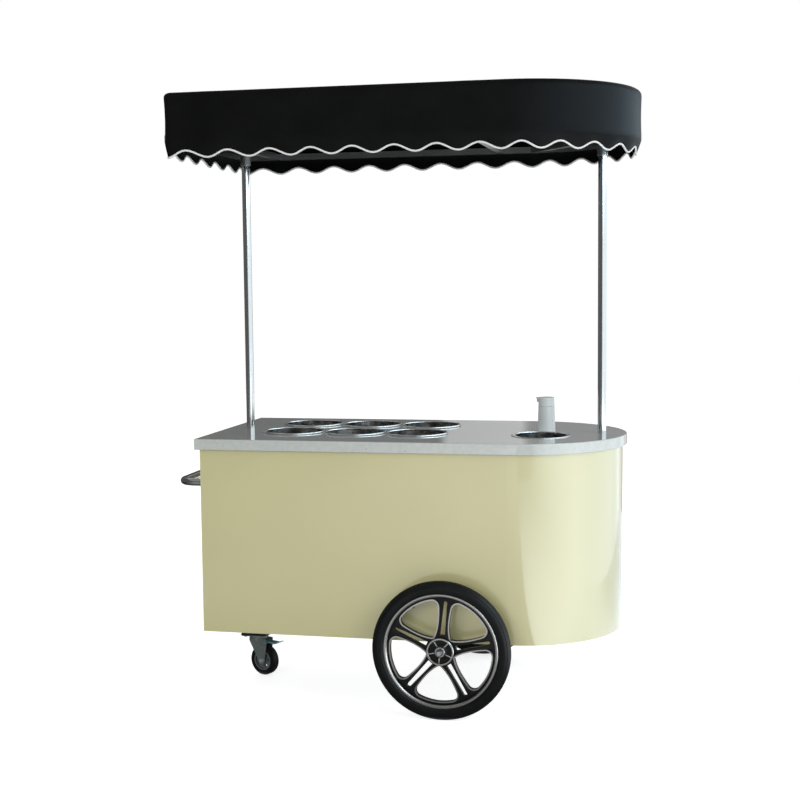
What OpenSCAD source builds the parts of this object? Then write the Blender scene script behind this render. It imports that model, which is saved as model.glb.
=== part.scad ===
// Ice cream push cart: a D-shaped freezer cabinet on two large wheels and one caster,
// with six round tubs, a small sink and a scalloped canopy on two poles.
// X runs along the cart from the handle end to the round end, the customer side faces -Y
// and Z is up from the ground. All sizes are millimetres.

/* [Counter] */
// Length of the counter, from the handle end to the tip of the round end
counter_l = 1575; // [1450:5:1700]
// Depth of the counter
counter_w = 805; // [760:5:900]
// Height of the counter's top above the ground
counter_z = 1000; // [960:5:1080]
// Thickness of the counter
counter_t = 40; // [20:1:50]
// Rounding of the counter's edges
counter_edge = 2.5; // [1:0.5:6]
// How far the counter stands out past the cabinet
overhang = 16; // [8:1:30]
// Depth of the seats for the rims of the tubs, the sink and the tap
rim_seat = 0.5; // [0.3:0.1:1.5]

/* [Cabinet] */
// Room between the axle and the cabinet's lower edge above it
axle_room = 2; // [1:0.5:12]
// Thickness of the outer panels
skin_t = 3; // [2:0.5:5]
// Side of the cabinet frame's square tubes
tube = 25; // [20:1:32]
// Thickness of the floor tray and the tank shelf
tray_t = 3; // [2:0.5:5]
// How far the floor tray sits above the cabinet's lower edge
tray_lift = 2; // [2:0.5:6]
// Height of the shelf under the water tanks
shelf_z = 533; // [520:1:545]

/* [Freezer] */
// First tub's centre, from the counter's handle end
tub_x = 304; // [295:1:320]
// Distance between neighbouring tubs along the cart
tub_pitch = 243.5; // [238:0.5:250]
// Distance between the two rows of tubs
tub_row = 282; // [240:1:290]
// How far back the rows stand, as a share of the spare depth, from 0 in the middle to 1 at the back
tub_back_share = 0.34; // [0:0.01:0.6]
// Outer radius of a tub's wall
tub_r = 110; // [100:0.5:112]
// Thickness of a tub's wall
tub_wall = 1.5; // [1:0.1:2.5]
// Depth of a tub below the counter's top
tub_depth = 240; // [180:5:250]
// Radius of the bead round a tub's rim
tub_bead = 3.4; // [1.5:0.1:4]
// How far the middle of the bead lies outside the tub's wall
tub_bead_out = 5; // [3:0.1:6]
// Room between a tub and its hole in the counter
tub_room = 1.2; // [0.8:0.1:1.6]
// Room between the tubs and the cold liner
liner_room = 22; // [15:1:26]
// Thickness of the cold liner's sheet
liner_t = 1.5; // [1:0.1:3]
// Thickness of the evaporator plate under the liner
evaporator_t = 4; // [3:0.5:6]
// Thickness of the foam under the liner and at its ends
foam_t = 35; // [25:1:38]
// Room between the foam and the cabinet's frame in front and behind
foam_gap = 2; // [1:0.5:20]

/* [Cooling unit] */
// Radius of the compressor's shell
compressor_r = 80; // [60:1:90]
// Height of the compressor's shell
compressor_h = 165; // [140:1:190]
// Radius of the fan's blades
fan_r = 85; // [60:1:95]
// Radius of the fan's shaft
fan_shaft_r = 4; // [3:0.5:6]
// Number of fins on the condenser
fins = 20; // [10:1:24]

/* [Sink and water] */
// Sink's centre, from the counter's handle end
sink_x = 1264; // [1250:1:1280]
// Radius of the sink bowl
sink_r = 97; // [85:0.5:100]
// Width of the sink's rim on the counter
sink_rim = 12; // [4:0.5:14]
// Depth of the sink bowl
sink_depth = 125; // [90:1:140]
// Thickness of the bowl's sheet
sink_t = 1.5; // [1:0.1:2.5]
// Radius of the drain pipe
drain_r = 16; // [12:0.5:20]
// Room between the water tanks and the bearers above them
tank_room = 8; // [6:1:30]
// Length of a water tank along the cart
tank_l = 180; // [150:1:190]
// Width of a water tank across the cart
tank_w = 210; // [170:1:220]
// Tap's centre, from the counter's handle end
tap_x = 1268; // [1255:1:1280]
// How far the tap's centre stands behind the sink's
tap_back = 151; // [148:1:158]
// Radius at the foot of the tap's column
tap_foot_r = 34; // [28:0.5:38]
// Radius at the top of the tap's head
tap_top_r = 30; // [24:0.5:33]
// Height of the tap above the counter
tap_h = 131; // [110:1:160]
// Height of the swivelling head
tap_head_h = 34; // [26:1:44]
// How far the spout reaches out past the head
spout_reach = 13; // [8:0.5:24]

/* [Wheels] */
// Wheel centre, from the counter's handle end
wheel_x = 943; // [930:1:960]
// Gap between the cabinet's side and a tyre
wheel_gap = 38.5; // [30:0.5:60]
// Outer radius of a tyre, which is also the axle's height
wheel_r = 254; // [250:0.5:258]
// Width of a tyre
tyre_w = 50; // [42:1:56]
// Radius of the rim's edge
rim_r = 210; // [206:0.5:212]
// Width of the rim across its edges
rim_w = 40; // [37:0.5:44]
// Depth of the channel that holds the tyre
rim_well = 10; // [8:0.5:14]
// Thickness of the rim's edges
rim_edge = 3.5; // [2.5:0.1:4]
// Outer radius of the windows between the spokes
window_r = 188; // [184:0.5:189]
// Thickness of the spokes
spoke_t = 24; // [16:1:30]
// Direction of the first spoke
spoke_turn = 12; // [0:1:71]
// Radius of the hub
hub_r = 50; // [46:0.5:54]
// Length of the hub
hub_w = 50; // [46:1:60]
// Outer radius of a wheel bearing
bearing_r = 21; // [19:0.5:23]
// Width of a wheel bearing
bearing_w = 12; // [9:0.5:14]
// Radius of the axle between the wheels
axle_r = 11; // [10.5:0.1:11.5]
// Radius of the axle inside the bearings
journal_r = 10; // [8.5:0.1:10]
// Radius of the threaded ends of the axle
thread_r = 8; // [6:0.1:8]

/* [Caster] */
// Swivel axis, from the counter's handle end
caster_x = 99; // [90:1:115]
// Radius of the caster's wheel
caster_r = 61; // [55:0.5:63]
// Width of the caster's wheel
caster_w = 34; // [28:1:38]
// Radius of the caster wheel's core
caster_core_r = 40; // [32:0.5:44]
// How far the wheel trails behind the swivel axis
caster_trail = 36; // [30:1:40]
// Height of the caster over its top plate
caster_h = 165; // [155:1:175]
// Way the caster trails at rest, turned from the cart's round end
caster_turn = -20; // [-180:1:180]
// Thickness of the fork's and the plates' steel
fork_t = 4; // [3:0.5:5]
// Radius of the caster's axle bolt
caster_bolt_r = 5; // [4:0.5:6]
// Radius of the swivel pin
king_r = 6; // [5:0.5:8]

/* [Handle] */
// Radius of the handle's tube
handle_r = 14.5; // [12:0.5:18]
// Wall of the handle's tube
handle_wall = 1.5; // [1:0.1:2.5]
// Distance between the middles of the handle's two arms
handle_w = 500; // [400:5:600]
// How far the handle stands out from the cabinet
handle_reach = 151; // [110:1:160]
// Height of the handle
handle_z = 815; // [780:1:850]
// Bend radius of the handle's corners, to the middle of the tube
handle_bend = 60; // [45:1:80]
// Radius of the handle's flanges
flange_r = 33; // [29:0.5:40]

/* [Canopy] */
// Length of the canopy
canopy_l = 1694; // [1660:1:1760]
// Width of the canopy
canopy_w = 914; // [890:1:960]
// How far the canopy stands out past the counter at the handle end
canopy_out = 70; // [50:1:90]
// Height of the canopy's top above the ground
canopy_z = 2272; // [2200:1:2350]
// Height of the frame bar that the valance hangs from
crease_z = 2092; // [2080:1:2120]
// Middle height of the scalloped hem
hem_z = 2050; // [2035:1:2060]
// Half of the scallops' height
hem_wave = 14; // [8:0.5:18]
// How far the hem hangs in from the frame
hem_in = 18; // [0:1:25]
// Thickness of the cloth
cloth_t = 3; // [2:0.5:4]
// Size of the canopy's softened top edge
top_edge = 14; // [8:1:20]
// Scallops along each long side
long_scallops = 8; // [7:1:11]
// Scallops round the round end
round_scallops = 10; // [8:1:11]
// Scallops across the handle end
end_scallops = 6; // [5:1:7]
// Side of the canopy frame's square tubes
bar = 25; // [20:1:28]
// Radius of the poles
pole_r = 16; // [14:0.5:19]
// Wall of the poles
pole_wall = 1.5; // [1:0.1:2.5]
// Pole at the handle end, from the counter's end
pole_left = 88; // [80:1:95]
// Pole at the round end, from the counter's tip
pole_right = 93; // [88:1:100]
// Least distance from the canopy's tip to that pole
pole_cover = 142; // [120:1:160]
// Wall of the sockets and sleeves round the poles
socket_wall = 4; // [3:0.5:6]
// Length of the sleeves at the top of the poles
sleeve_l = 55; // [40:1:80]

/* [Doors and controls] */
// Service door's hinge edge, from the counter's handle end
door_x = 124; // [118:1:130]
// Width of the service door
door_w = 510; // [480:5:520]
// Height of the service door
door_h = 320; // [300:5:330]
// Lower edge of the service door
door_z = 315; // [305:1:325]
// Number of air slots in the service door
louvres = 9; // [5:1:11]
// Width of the door to the water tanks
hatch_w = 165; // [150:1:170]
// Height of the door to the water tanks
hatch_h = 370; // [340:5:380]
// Lower edge of the door to the water tanks
hatch_z = 545; // [540:1:550]
// Gap round the doors
door_gap = 2; // [1.5:0.1:3]
// Radius of the hinge pins
hinge_pin_r = 2.5; // [2:0.1:3]
// Outer radius of the hinge barrels
barrel_r = 5; // [4:0.1:6]
// Length of one hinge
hinge_l = 60; // [45:1:80]
// Left edge of the control panel, from the counter's handle end
panel_x = 735; // [725:1:745]
// Lower edge of the control panel
panel_z = 570; // [560:1:580]
// Width of the control panel
panel_w = 160; // [150:1:165]
// Height of the control panel
panel_h = 80; // [76:1:86]
// Radius of the thermostat knob
knob_r = 18; // [14:0.5:22]
// Radius of the rocker switch
rocker_r = 9; // [7:0.5:10]

/* [Hidden] */
$fn = 96;

// Clearances: a running fit, a seat between bodies, a loose passage, a screw's hole,
// a frame inside its panels, a cut's overshoot and the step between welded bars
run_fit = 0.05;
press_fit = 0.02;
seat = 0.3;
loose = 0.5;
screw_room = 0.2;
frame_room = 0.2;
cut = 1;
weld = 0.5;

// The part stands with the middle of its length over the origin
reach_left = overhang - handle_reach;
reach_right = canopy_l - canopy_out;
origin_x = (reach_left + reach_right) / 2;

// Levels of the cabinet
counter_under = counter_z - counter_t;
cabinet_z = wheel_r + axle_r + axle_room;
tray_z = cabinet_z + tray_lift;
rail_z = tray_z + tray_t;
round_x = counter_l - counter_w / 2;
panel_out = counter_w / 2 - overhang;
panel_in = panel_out - skin_t;
frame_inset = overhang + skin_t + frame_room;
frame_out = counter_w / 2 - frame_inset;
frame_in = frame_out - tube;

// Freezer, from the tubs outwards
tub_xs = [for (i = [0:2]) tub_x + i * tub_pitch];
tub_hole_r = tub_r + tub_room;
tub_rim_r = tub_r + tub_bead_out + tub_bead;
tub_floor_room = 15;
rows_y = tub_back_share * (frame_in - tub_row / 2 - tub_r - liner_room);
tub_front_y = rows_y - tub_row / 2;
tub_back_y = rows_y + tub_row / 2;
liner_x = tub_x - tub_r - liner_room;
liner_l = 2 * tub_pitch + 2 * (tub_r + liner_room);
liner_y = tub_front_y - tub_r - liner_room;
liner_w = tub_row + 2 * (tub_r + liner_room);
liner_z = counter_z - tub_depth - tub_floor_room;
foam_z = liner_z - evaporator_t - foam_t;
foam_y = frame_in - foam_gap;
bearer_z = foam_z - tube;

// Poles and their sockets
pole_xs = [pole_left, min(counter_l - pole_right, reach_right - pole_cover)];
pole_foot_z = foam_z;
socket_r = pole_r + loose / 2 + socket_wall;
socket_h = 180;
socket_foot_out = 8;
socket_foot_t = 4;

// Cabinet frame: its posts, the bearers under the freezer and the bars over the caster
post_x = 680;
post_xs = [pole_left, post_x, round_x - tube / 2];
post_weld = 2;
bearer_y = 200;
shelf_room = 2;
caster_bar = 50;

// Canopy plan: the round end keeps half the canopy's width as its radius
canopy_x = -canopy_out;
canopy_round_x = canopy_x + canopy_l - canopy_w / 2;
cloth_clear = 0.5;
bar_z = crease_z;
ring_in = cloth_t + cloth_clear;
ring_y = canopy_w / 2 - ring_in - bar / 2;
frame_top_z = canopy_z - cloth_t - cloth_clear;
wave_steps = 5;
post_side = 18;
cross_bar_in = 127;
cross_bar_x = canopy_round_x - cross_bar_in;

// Wheels
spokes = 5;
axle_z = wheel_r;
wheel_y = panel_out + wheel_gap + tyre_w / 2;
hub_out = wheel_y + hub_w / 2;
nut_r = 13.9;
nut_h = 13;
washer_r = 20;
washer_t = 3;
thread_out = 6;
axle_end = hub_out + seat + washer_t + nut_h + thread_out;
block_in = 83.5;
block_y = panel_in - block_in;
block_l = 60;
block_w = 40;
block_under = 26;

// Caster levels, from the top plate down
plate_t = 5;
race_t = 7;
race_r = 28;
crown_t = 12;
crown_top = caster_h - plate_t - race_t - seat;
crown_under = crown_top - crown_t;
rivet_r = 10;
rivet_t = 4;
leg_room = 2.5;
leg_in = caster_w / 2 + leg_room;
leg_out = leg_in + fork_t;
pedal_pin_s = 52;
pedal_room = 14;
pedal_pin_z = caster_r * 2 + pedal_room;
pedal_pin_r = 3;
caster_hole_dx = 80;
caster_hole_dy = 60;
caster_plate_l = 104;
caster_plate_w = 84;
riser_plate_t = 5;
riser_l = 150;
fixing_r = 4;
fixing_head_r = 7;
fixing_head_t = 4;
fixing_past = 8;

// Handle screws lie on a circle in each flange
flange_t = 4;
screw_r = 2.5;
screw_head_r = 4.5;
screw_head_t = 2.5;
screw_circle_r = (handle_r + flange_r) / 2;
screws = 3;
screw_hole_r = screw_r + screw_room;
screw_past = 8;

// Doors
door_land = 4;
hatch_right = round_x - tube - door_land;
hatch_x = hatch_right - hatch_w;
door_axis_y = panel_out + barrel_r;
leaf_w = 16;
leaf_t = 1.5;
hinge_inset = 50;
pull_l = 120;
pull_w = 10;
pull_t = 6;
pull_out = 24;
pull_foot = 8;

// Control panel: its lip over the cut in the back panel and the places of its controls
panel_lip_x = 10;
panel_lip_z = 8;
panel_face = panel_out + skin_t;
control_in = 45;
knob_x = panel_x + panel_w - control_in;
knob_z = panel_z + panel_h / 2;
knob_shaft_r = 3;
knob_shaft_in = 18;
control_box_d = 24;
rocker_x = panel_x + control_in;
rocker_w = 14;
rocker_tilt = 8;

// Sink, tap and tanks
rim_z = counter_z - rim_seat;
sink_y = tub_front_y;
tap_y = sink_y + tap_back;
drain_seat_r = 24;
tank_wall = 3;
tank_neck_r = 24;
tank_neck_h = 14;
cap_t = 8;
shank_r = 10;
shank_l = 95;
spigot_r = 12;
spigot_l = 22;
pump_r = 14;
pump_h = 70;
pump_neck_h = 8;
pump_room = 7.5;
pump_y = max(tap_y, tube / 2 + pump_room + pump_r);
hose_r = 7;
hose_bore_r = 4;
tank_x = sink_x - tank_l / 2;
tank_top = bearer_z - tank_room;
neck_in = 45;
tank_mid = 20;
waste_y = -tank_mid - tank_w;
fresh_y = pump_y - pump_r;
waste_neck = [sink_x, sink_y];
fresh_neck = [tank_x + tank_l - neck_in, fresh_y + tank_w - neck_in];

// Cooling unit places inside the lower compartment
compressor_x = 290;
compressor_y = 60;
foot_h = 14;
foot_y = 55;
foot_out = 20;
fin_pitch = 10;
fin_t = 1;
fin_d = 45;
fin_h = 250;
condenser_x = 400;
condenser_room = 73.5;
condenser_y = panel_in - condenser_room - fin_d;
fan_lift = 20;
fan_front = 30;
fan_x = condenser_x + (fins - 1) * fin_pitch / 2;
fan_z = rail_z + fin_h / 2 + fan_lift;
fan_y = condenser_y - fan_front;

// Colours as seen on the cart
cream = [0.93, 0.91, 0.74];
stone = [0.80, 0.82, 0.82];
steel = [0.76, 0.77, 0.78];
dark = [0.08, 0.08, 0.09];
white = [0.93, 0.95, 0.95];
zinc = [0.55, 0.60, 0.58];

// Shared shapes

// D outline: a straight end at x = 0 and a round end of half the width
module d_plan(l, w) {
    translate([0, -w / 2]) square([l - w / 2, w]);
    translate([l - w / 2, 0]) circle(r = w / 2);
}

// The counter's outline drawn in by g all round
module cabinet_plan(g) {
    translate([g, 0]) d_plan(counter_l - 2 * g, counter_w - 2 * g);
}

// The canopy's outline drawn in by g all round
module canopy_plan(g) {
    translate([canopy_x + g, 0]) d_plan(canopy_l - 2 * g, canopy_w - 2 * g);
}

// Half section of a slab with rounded edges
module slab_half(w, t, r) {
    square([w / 2 - r, t]);
    translate([0, r]) square([w / 2, t - 2 * r]);
    translate([w / 2 - r, r]) circle(r = r);
    translate([w / 2 - r, t - r]) circle(r = r);
}

// D slab with rounded edges
module d_slab(l, w, t, r) {
    rotate([90, 0, 90]) linear_extrude(l - w / 2) {
        slab_half(w, t, r);
        mirror([1, 0]) slab_half(w, t, r);
    }
    translate([l - w / 2, 0, 0]) rotate([0, 0, -90]) rotate_extrude(angle = 180) slab_half(w, t, r);
}

module tube_ring(r_out, r_in, h) {
    difference() {
        cylinder(r = r_out, h = h);
        translate([0, 0, -cut]) cylinder(r = r_in, h = h + 2 * cut);
    }
}

// Block between two corners
module block(a, b) {
    translate(a) cube(b - a);
}

// Cylinder lying along +Y from y0 to y1
module rod_y(r, y0, y1) {
    translate([0, y0, 0]) rotate([-90, 0, 0]) cylinder(r = r, h = y1 - y0);
}

// Square bar of side s along X, its middle at y, its lower face at z
module bar_x(x0, x1, y, z, s) {
    block([x0, y - s / 2, z], [x1, y + s / 2, z + s]);
}

// Square bar of side s along Y, its middle at x, its lower face at z
module bar_y(x, y0, y1, z, s) {
    block([x - s / 2, y0, z], [x + s / 2, y1, z + s]);
}

// Cabinet

// Hole through the counter with a shallow seat for a rim
module rim_hole(hole_r, rim_r) {
    translate([0, 0, counter_under - cut]) cylinder(r = hole_r, h = counter_t + 2 * cut);
    translate([0, 0, rim_z]) cylinder(r = rim_r + loose, h = rim_seat + cut);
}

module counter() {
    color(stone) difference() {
        translate([0, 0, counter_under]) d_slab(counter_l, counter_w, counter_t, counter_edge);
        for (x = tub_xs, y = [tub_front_y, tub_back_y]) translate([x, y, 0]) rim_hole(tub_hole_r, tub_rim_r);
        translate([sink_x, sink_y, 0]) rim_hole(sink_r + loose, sink_r + sink_rim + sink_t);
        translate([tap_x, tap_y, 0]) rim_hole(shank_r + loose, tap_foot_r);
        for (x = pole_xs)
            translate([x, 0, counter_under - cut]) cylinder(r = pole_r + seat, h = counter_t + 2 * cut);
    }
}

// Front sheet and the sheet bent round the end, in one piece
module body_skin() {
    color(cream) translate([0, 0, cabinet_z]) linear_extrude(counter_under - cabinet_z)
        intersection() {
            difference() {
                cabinet_plan(overhang);
                cabinet_plan(overhang + skin_t);
            }
            union() {
                translate([0, -counter_w]) square([counter_l, counter_w - panel_in]);
                translate([round_x, -counter_w]) square([counter_w, 2 * counter_w]);
            }
        }
}

module end_panel() {
    color(cream) difference() {
        block([overhang, -panel_in, cabinet_z], [overhang + skin_t, panel_in, counter_under]);
        for (s = [-1, 1]) handle_screw_places(s)
            translate([0, 0, -cut - flange_t]) cylinder(r = screw_hole_r, h = flange_t + skin_t + 3 * cut);
    }
}

module back_panel() {
    color(cream) difference() {
        block([overhang, panel_in, cabinet_z], [round_x, panel_out, counter_under]);
        block([door_x, panel_in - cut, door_z], [door_x + door_w, panel_out + cut, door_z + door_h]);
        block([hatch_x, panel_in - cut, hatch_z], [hatch_right, panel_out + cut, hatch_z + hatch_h]);
        block([panel_x + panel_lip_x, panel_in - cut, panel_z + panel_lip_z],
              [panel_x + panel_w - panel_lip_x, panel_out + cut, panel_z + panel_h - panel_lip_z]);
    }
}

module floor_tray() {
    color(steel) translate([0, 0, tray_z]) linear_extrude(tray_t) cabinet_plan(frame_inset);
}

// Welded cabinet frame: two rings, posts, bearers under the freezer and poles, and the tank shelf
module body_frame() {
    right_post_x = round_x + frame_in;
    color(dark) {
        for (z = [rail_z, counter_under - tube])
            translate([0, 0, z]) linear_extrude(tube) difference() {
                cabinet_plan(frame_inset);
                cabinet_plan(frame_inset + tube);
            }
        for (x = post_xs, s = [-1, 1])
            translate([x, s * (frame_out - tube / 2), (rail_z + counter_under) / 2])
                cube([tube, tube, counter_under - rail_z - tube], center = true);
        block([right_post_x - post_weld, -tube / 2, rail_z + tube / 2],
              [right_post_x + tube - post_weld, tube / 2, counter_under - tube / 2]);
        for (x = post_xs) bar_y(x, -frame_in - cut, frame_in + cut, bearer_z, tube);
        for (y = [-bearer_y, bearer_y]) bar_x(pole_left, post_xs[2], y, bearer_z, tube);
        for (z = [bearer_z, shelf_z - tray_t - tube]) bar_x(post_xs[2], right_post_x, 0, z, tube);
        bar_y(post_xs[2], -frame_in - cut, frame_in + cut, shelf_z - tray_t - tube, tube);
        for (x = [wheel_x - block_l, wheel_x + block_l, caster_x - caster_bar, caster_x + caster_bar])
            bar_y(x, -frame_in - cut, frame_in + cut, rail_z, tube);
        translate([0, 0, shelf_z - tray_t]) linear_extrude(tray_t) intersection() {
            cabinet_plan(frame_inset + tube + shelf_room);
            translate([round_x - tube, -counter_w]) square([counter_w, 2 * counter_w]);
        }
    }
}

// Doors on the working side

// Barrel and leaf of one hinge: share 0 is the fixed half, share 1 the door's half
module hinge_half(share, side) {
    third = hinge_l / 3;
    runs = share == 0 ? [[0, third - seat / 2], [2 * third + seat / 2, hinge_l]]
                      : [[third + seat / 2, 2 * third - seat / 2]];
    for (run = runs) translate([0, 0, run[0]]) {
        difference() {
            union() {
                cylinder(r = barrel_r, h = run[1] - run[0]);
                leaf_from = share == 0 ? -leaf_w : 0;
                block([min(side * leaf_from, side * (leaf_from + leaf_w)), -barrel_r, 0],
                      [max(side * leaf_from, side * (leaf_from + leaf_w)), leaf_t - barrel_r, run[1] - run[0]]);
            }
            translate([0, 0, -cut]) cylinder(r = hinge_pin_r + run_fit, h = hinge_l);
        }
    }
}

// Places of the two hinges of a door whose axis is at x
module hinge_places(x, z, h) {
    for (lift = [hinge_inset, h - hinge_inset - hinge_l])
        translate([x, door_axis_y, z + lift]) children();
}

module door_hinges() {
    color(steel) {
        hinge_places(door_x + door_gap / 2, door_z, door_h) fixed_hinge(1);
        hinge_places(hatch_right - door_gap / 2, hatch_z, hatch_h) fixed_hinge(-1);
    }
}

// Fixed half of a hinge with its pin staked in the end barrels
module fixed_hinge(side) {
    hinge_half(0, side);
    third = hinge_l / 3;
    cylinder(r = hinge_pin_r, h = hinge_l);
    for (z = [0, 2 * third + seat / 2])
        translate([0, 0, z]) cylinder(r = hinge_pin_r + 2 * run_fit, h = third - seat / 2);
}

// Bent strap that the door is pulled by
module door_pull(l) {
    for (z = [0, l - pull_foot]) block([-pull_w / 2, 0, z], [pull_w / 2, pull_out, z + pull_foot]);
    block([-pull_w / 2, pull_out - pull_t, 0], [pull_w / 2, pull_out, l]);
}

module service_door() {
    x0 = door_x + door_gap;
    x1 = door_x + door_w - door_gap;
    slot_h = 8;
    slot_ends = 40;
    slot_left = 90;
    slot_right = 110;
    pull_in = 45;
    slot_pitch = (door_h - 2 * slot_ends) / (louvres - 1);
    color(cream) {
        difference() {
            block([x0, panel_in, door_z + door_gap], [x1, panel_out, door_z + door_h - door_gap]);
            for (i = [0:louvres - 1])
                translate([0, 0, door_z + slot_ends + i * slot_pitch])
                    block([x0 + slot_left, panel_in - cut, -slot_h / 2],
                          [x1 - slot_right, panel_out + cut, slot_h / 2]);
        }
        hinge_places(door_x + door_gap / 2, door_z, door_h) hinge_half(1, 1);
        translate([x1 - pull_in, panel_out, door_z + (door_h - pull_l) / 2]) door_pull(pull_l);
    }
}

module water_door() {
    x0 = hatch_x + door_gap;
    x1 = hatch_right - door_gap;
    pull_in = 30;
    color(cream) {
        block([x0, panel_in, hatch_z + door_gap], [x1, panel_out, hatch_z + hatch_h - door_gap]);
        hinge_places(hatch_right - door_gap / 2, hatch_z, hatch_h) hinge_half(1, -1);
        translate([x0 + pull_in, panel_out, hatch_z + (hatch_h - pull_l) / 2]) door_pull(pull_l);
    }
}

// Freezer

module freezer_liner() {
    color(steel) difference() {
        block([liner_x, liner_y, liner_z], [liner_x + liner_l, liner_y + liner_w, counter_under]);
        block([liner_x + liner_t, liner_y + liner_t, liner_z + liner_t],
              [liner_x + liner_l - liner_t, liner_y + liner_w - liner_t, counter_under + cut]);
    }
}

module evaporator() {
    color([0.72, 0.45, 0.30])
        block([liner_x, liner_y, liner_z - evaporator_t], [liner_x + liner_l, liner_y + liner_w, liner_z]);
}

module insulation() {
    color([0.90, 0.84, 0.62]) difference() {
        block([liner_x - foam_t, -foam_y, foam_z], [liner_x + liner_l + foam_t, foam_y, counter_under]);
        block([liner_x, liner_y, foam_z + foam_t],
              [liner_x + liner_l, liner_y + liner_w, counter_under + cut]);
    }
}

// Round can with a rolled bead that rests on the counter
module tub(x, y) {
    bead_z = seat + tub_bead - rim_seat;
    bead_x = tub_r + tub_bead_out;
    color(steel) translate([x, y, counter_z]) rotate_extrude() {
        translate([tub_r - tub_wall, -tub_depth]) square([tub_wall, tub_depth + bead_z]);
        translate([0, -tub_depth]) square([tub_r, tub_wall]);
        translate([tub_r - tub_wall, bead_z - tub_wall / 2]) square([tub_bead_out + tub_wall, tub_wall]);
        translate([bead_x, bead_z]) circle(r = tub_bead);
    }
}

// Cooling unit in the lower compartment

module compressor() {
    dome_h = 28;
    dome_in = 32;
    base_in = 16;
    foot_w = 40;
    foot_t = 4;
    color(dark) translate([compressor_x, compressor_y, rail_z + foot_h]) {
        cylinder(r1 = compressor_r - base_in, r2 = compressor_r, h = dome_h);
        translate([0, 0, dome_h]) cylinder(r = compressor_r, h = compressor_h - 2 * dome_h);
        translate([0, 0, compressor_h - dome_h])
            cylinder(r1 = compressor_r, r2 = compressor_r - dome_in, h = dome_h);
        for (s = [-1, 1]) translate([-compressor_r - foot_out, s * foot_y - foot_w / 2, 0])
            cube([2 * (compressor_r + foot_out), foot_w, foot_t]);
    }
}

// Rubber mounts under the compressor's feet
module compressor_feet() {
    foot_r = 14;
    color(dark) for (sx = [-1, 1], sy = [-1, 1])
        translate([compressor_x + sx * (compressor_r + foot_out - foot_r), compressor_y + sy * foot_y, rail_z])
            cylinder(r = foot_r, h = foot_h);
}

module condenser() {
    core_l = (fins - 1) * fin_pitch;
    coil_r = 4;
    coil_in = 12;
    coil_first = 30;
    coil_pitch = 38;
    color([0.70, 0.70, 0.68]) translate([condenser_x, condenser_y, rail_z]) {
        for (i = [0:fins - 1]) translate([i * fin_pitch, 0, 0]) cube([fin_t, fin_d, fin_h]);
        for (z = [coil_first:coil_pitch:fin_h - coil_in], y = [coil_in, fin_d - coil_in])
            translate([0, y, z]) rotate([0, 90, 0]) cylinder(r = coil_r, h = core_l + fin_t);
    }
}

// Motor on a bent foot that stands on the tray
module fan_motor() {
    motor_r = 30;
    motor_l = 60;
    motor_back = 20;
    shaft_in = 40;
    foot_w = 50;
    foot_t = 6;
    foot_y = -50;
    foot_l = 36;
    tuck = 10;
    color(dark) translate([fan_x, fan_y - motor_back, fan_z]) {
        difference() {
            rod_y(motor_r, -motor_l, 0);
            rod_y(fan_shaft_r + run_fit, -shaft_in, cut);
        }
        block([-foot_w / 2, foot_y, rail_z - fan_z], [foot_w / 2, foot_y + foot_t, tuck - motor_r]);
        block([-foot_w / 2, foot_y + foot_t - foot_l, rail_z - fan_z],
              [foot_w / 2, foot_y + foot_t, rail_z - fan_z + foot_t]);
    }
}

module fan_blades() {
    shaft_back = 55;
    shaft_front = 8;
    boss_r = 20;
    boss_back = 16;
    boss_front = 6;
    blade_w = 28;
    blade_t = 2;
    blade_in = 15;
    blade_tip = fan_r - 12;
    blade_pitch = 24;
    color(steel) translate([fan_x, fan_y, fan_z]) {
        rod_y(fan_shaft_r, -shaft_back, shaft_front);
        rod_y(boss_r, -boss_back, boss_front);
        for (a = [0:90:270]) rotate([0, a, 0])
            translate([0, (boss_front - boss_back) / 2, 0]) rotate([0, 0, blade_pitch])
                block([-blade_w / 2, -blade_t / 2, blade_in], [blade_w / 2, blade_t / 2, blade_tip]);
    }
}

// Pipe of straight runs with round corners through a list of points
module pipe(points, r) {
    for (i = [0:len(points) - 2]) {
        d = points[i + 1] - points[i];
        l = norm(d);
        translate(points[i]) rotate([0, acos(d[2] / l), atan2(d[1], d[0])]) cylinder(r = r, h = l);
    }
    for (i = [1:len(points) - 2]) translate(points[i]) sphere(r = r);
}

module refrigerant_lines() {
    pipe_r = 4;
    pipe_out = 20;
    pipe_up = 50;
    pipe_drop = 60;
    top_z = rail_z + foot_h + compressor_h;
    start = [compressor_x + pipe_out, compressor_y, top_z];
    level = top_z + pipe_up;
    color([0.72, 0.45, 0.30]) {
        pipe([start,
              [start[0], start[1], level],
              [start[0], condenser_y + fin_d / 2, level],
              [start[0], condenser_y + fin_d / 2, fan_z - pipe_drop],
              [condenser_x, condenser_y + fin_d / 2, fan_z - pipe_drop]], pipe_r);
        pipe([[compressor_x - pipe_out, compressor_y, top_z],
              [compressor_x - pipe_out, compressor_y, level],
              [compressor_x - pipe_out, compressor_y, foam_z]], pipe_r);
    }
}

// Controls above the back wheel

module control_panel() {
    color(dark) difference() {
        union() {
            block([panel_x, panel_out, panel_z], [panel_x + panel_w, panel_face, panel_z + panel_h]);
            block([panel_x + panel_lip_x + loose, panel_in - control_box_d, panel_z + panel_lip_z + loose],
                  [panel_x + panel_w - panel_lip_x - loose, panel_out + cut,
                   panel_z + panel_h - panel_lip_z - loose]);
        }
        translate([knob_x, 0, knob_z])
            rod_y(knob_shaft_r + run_fit, panel_in - knob_shaft_in - 2 * cut, panel_face + cut);
        translate([rocker_x - rocker_w / 2 - seat, panel_face, knob_z]) rotate([0, 90, 0])
            cylinder(r = rocker_r + seat, h = rocker_w + 2 * seat);
    }
}

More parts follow.
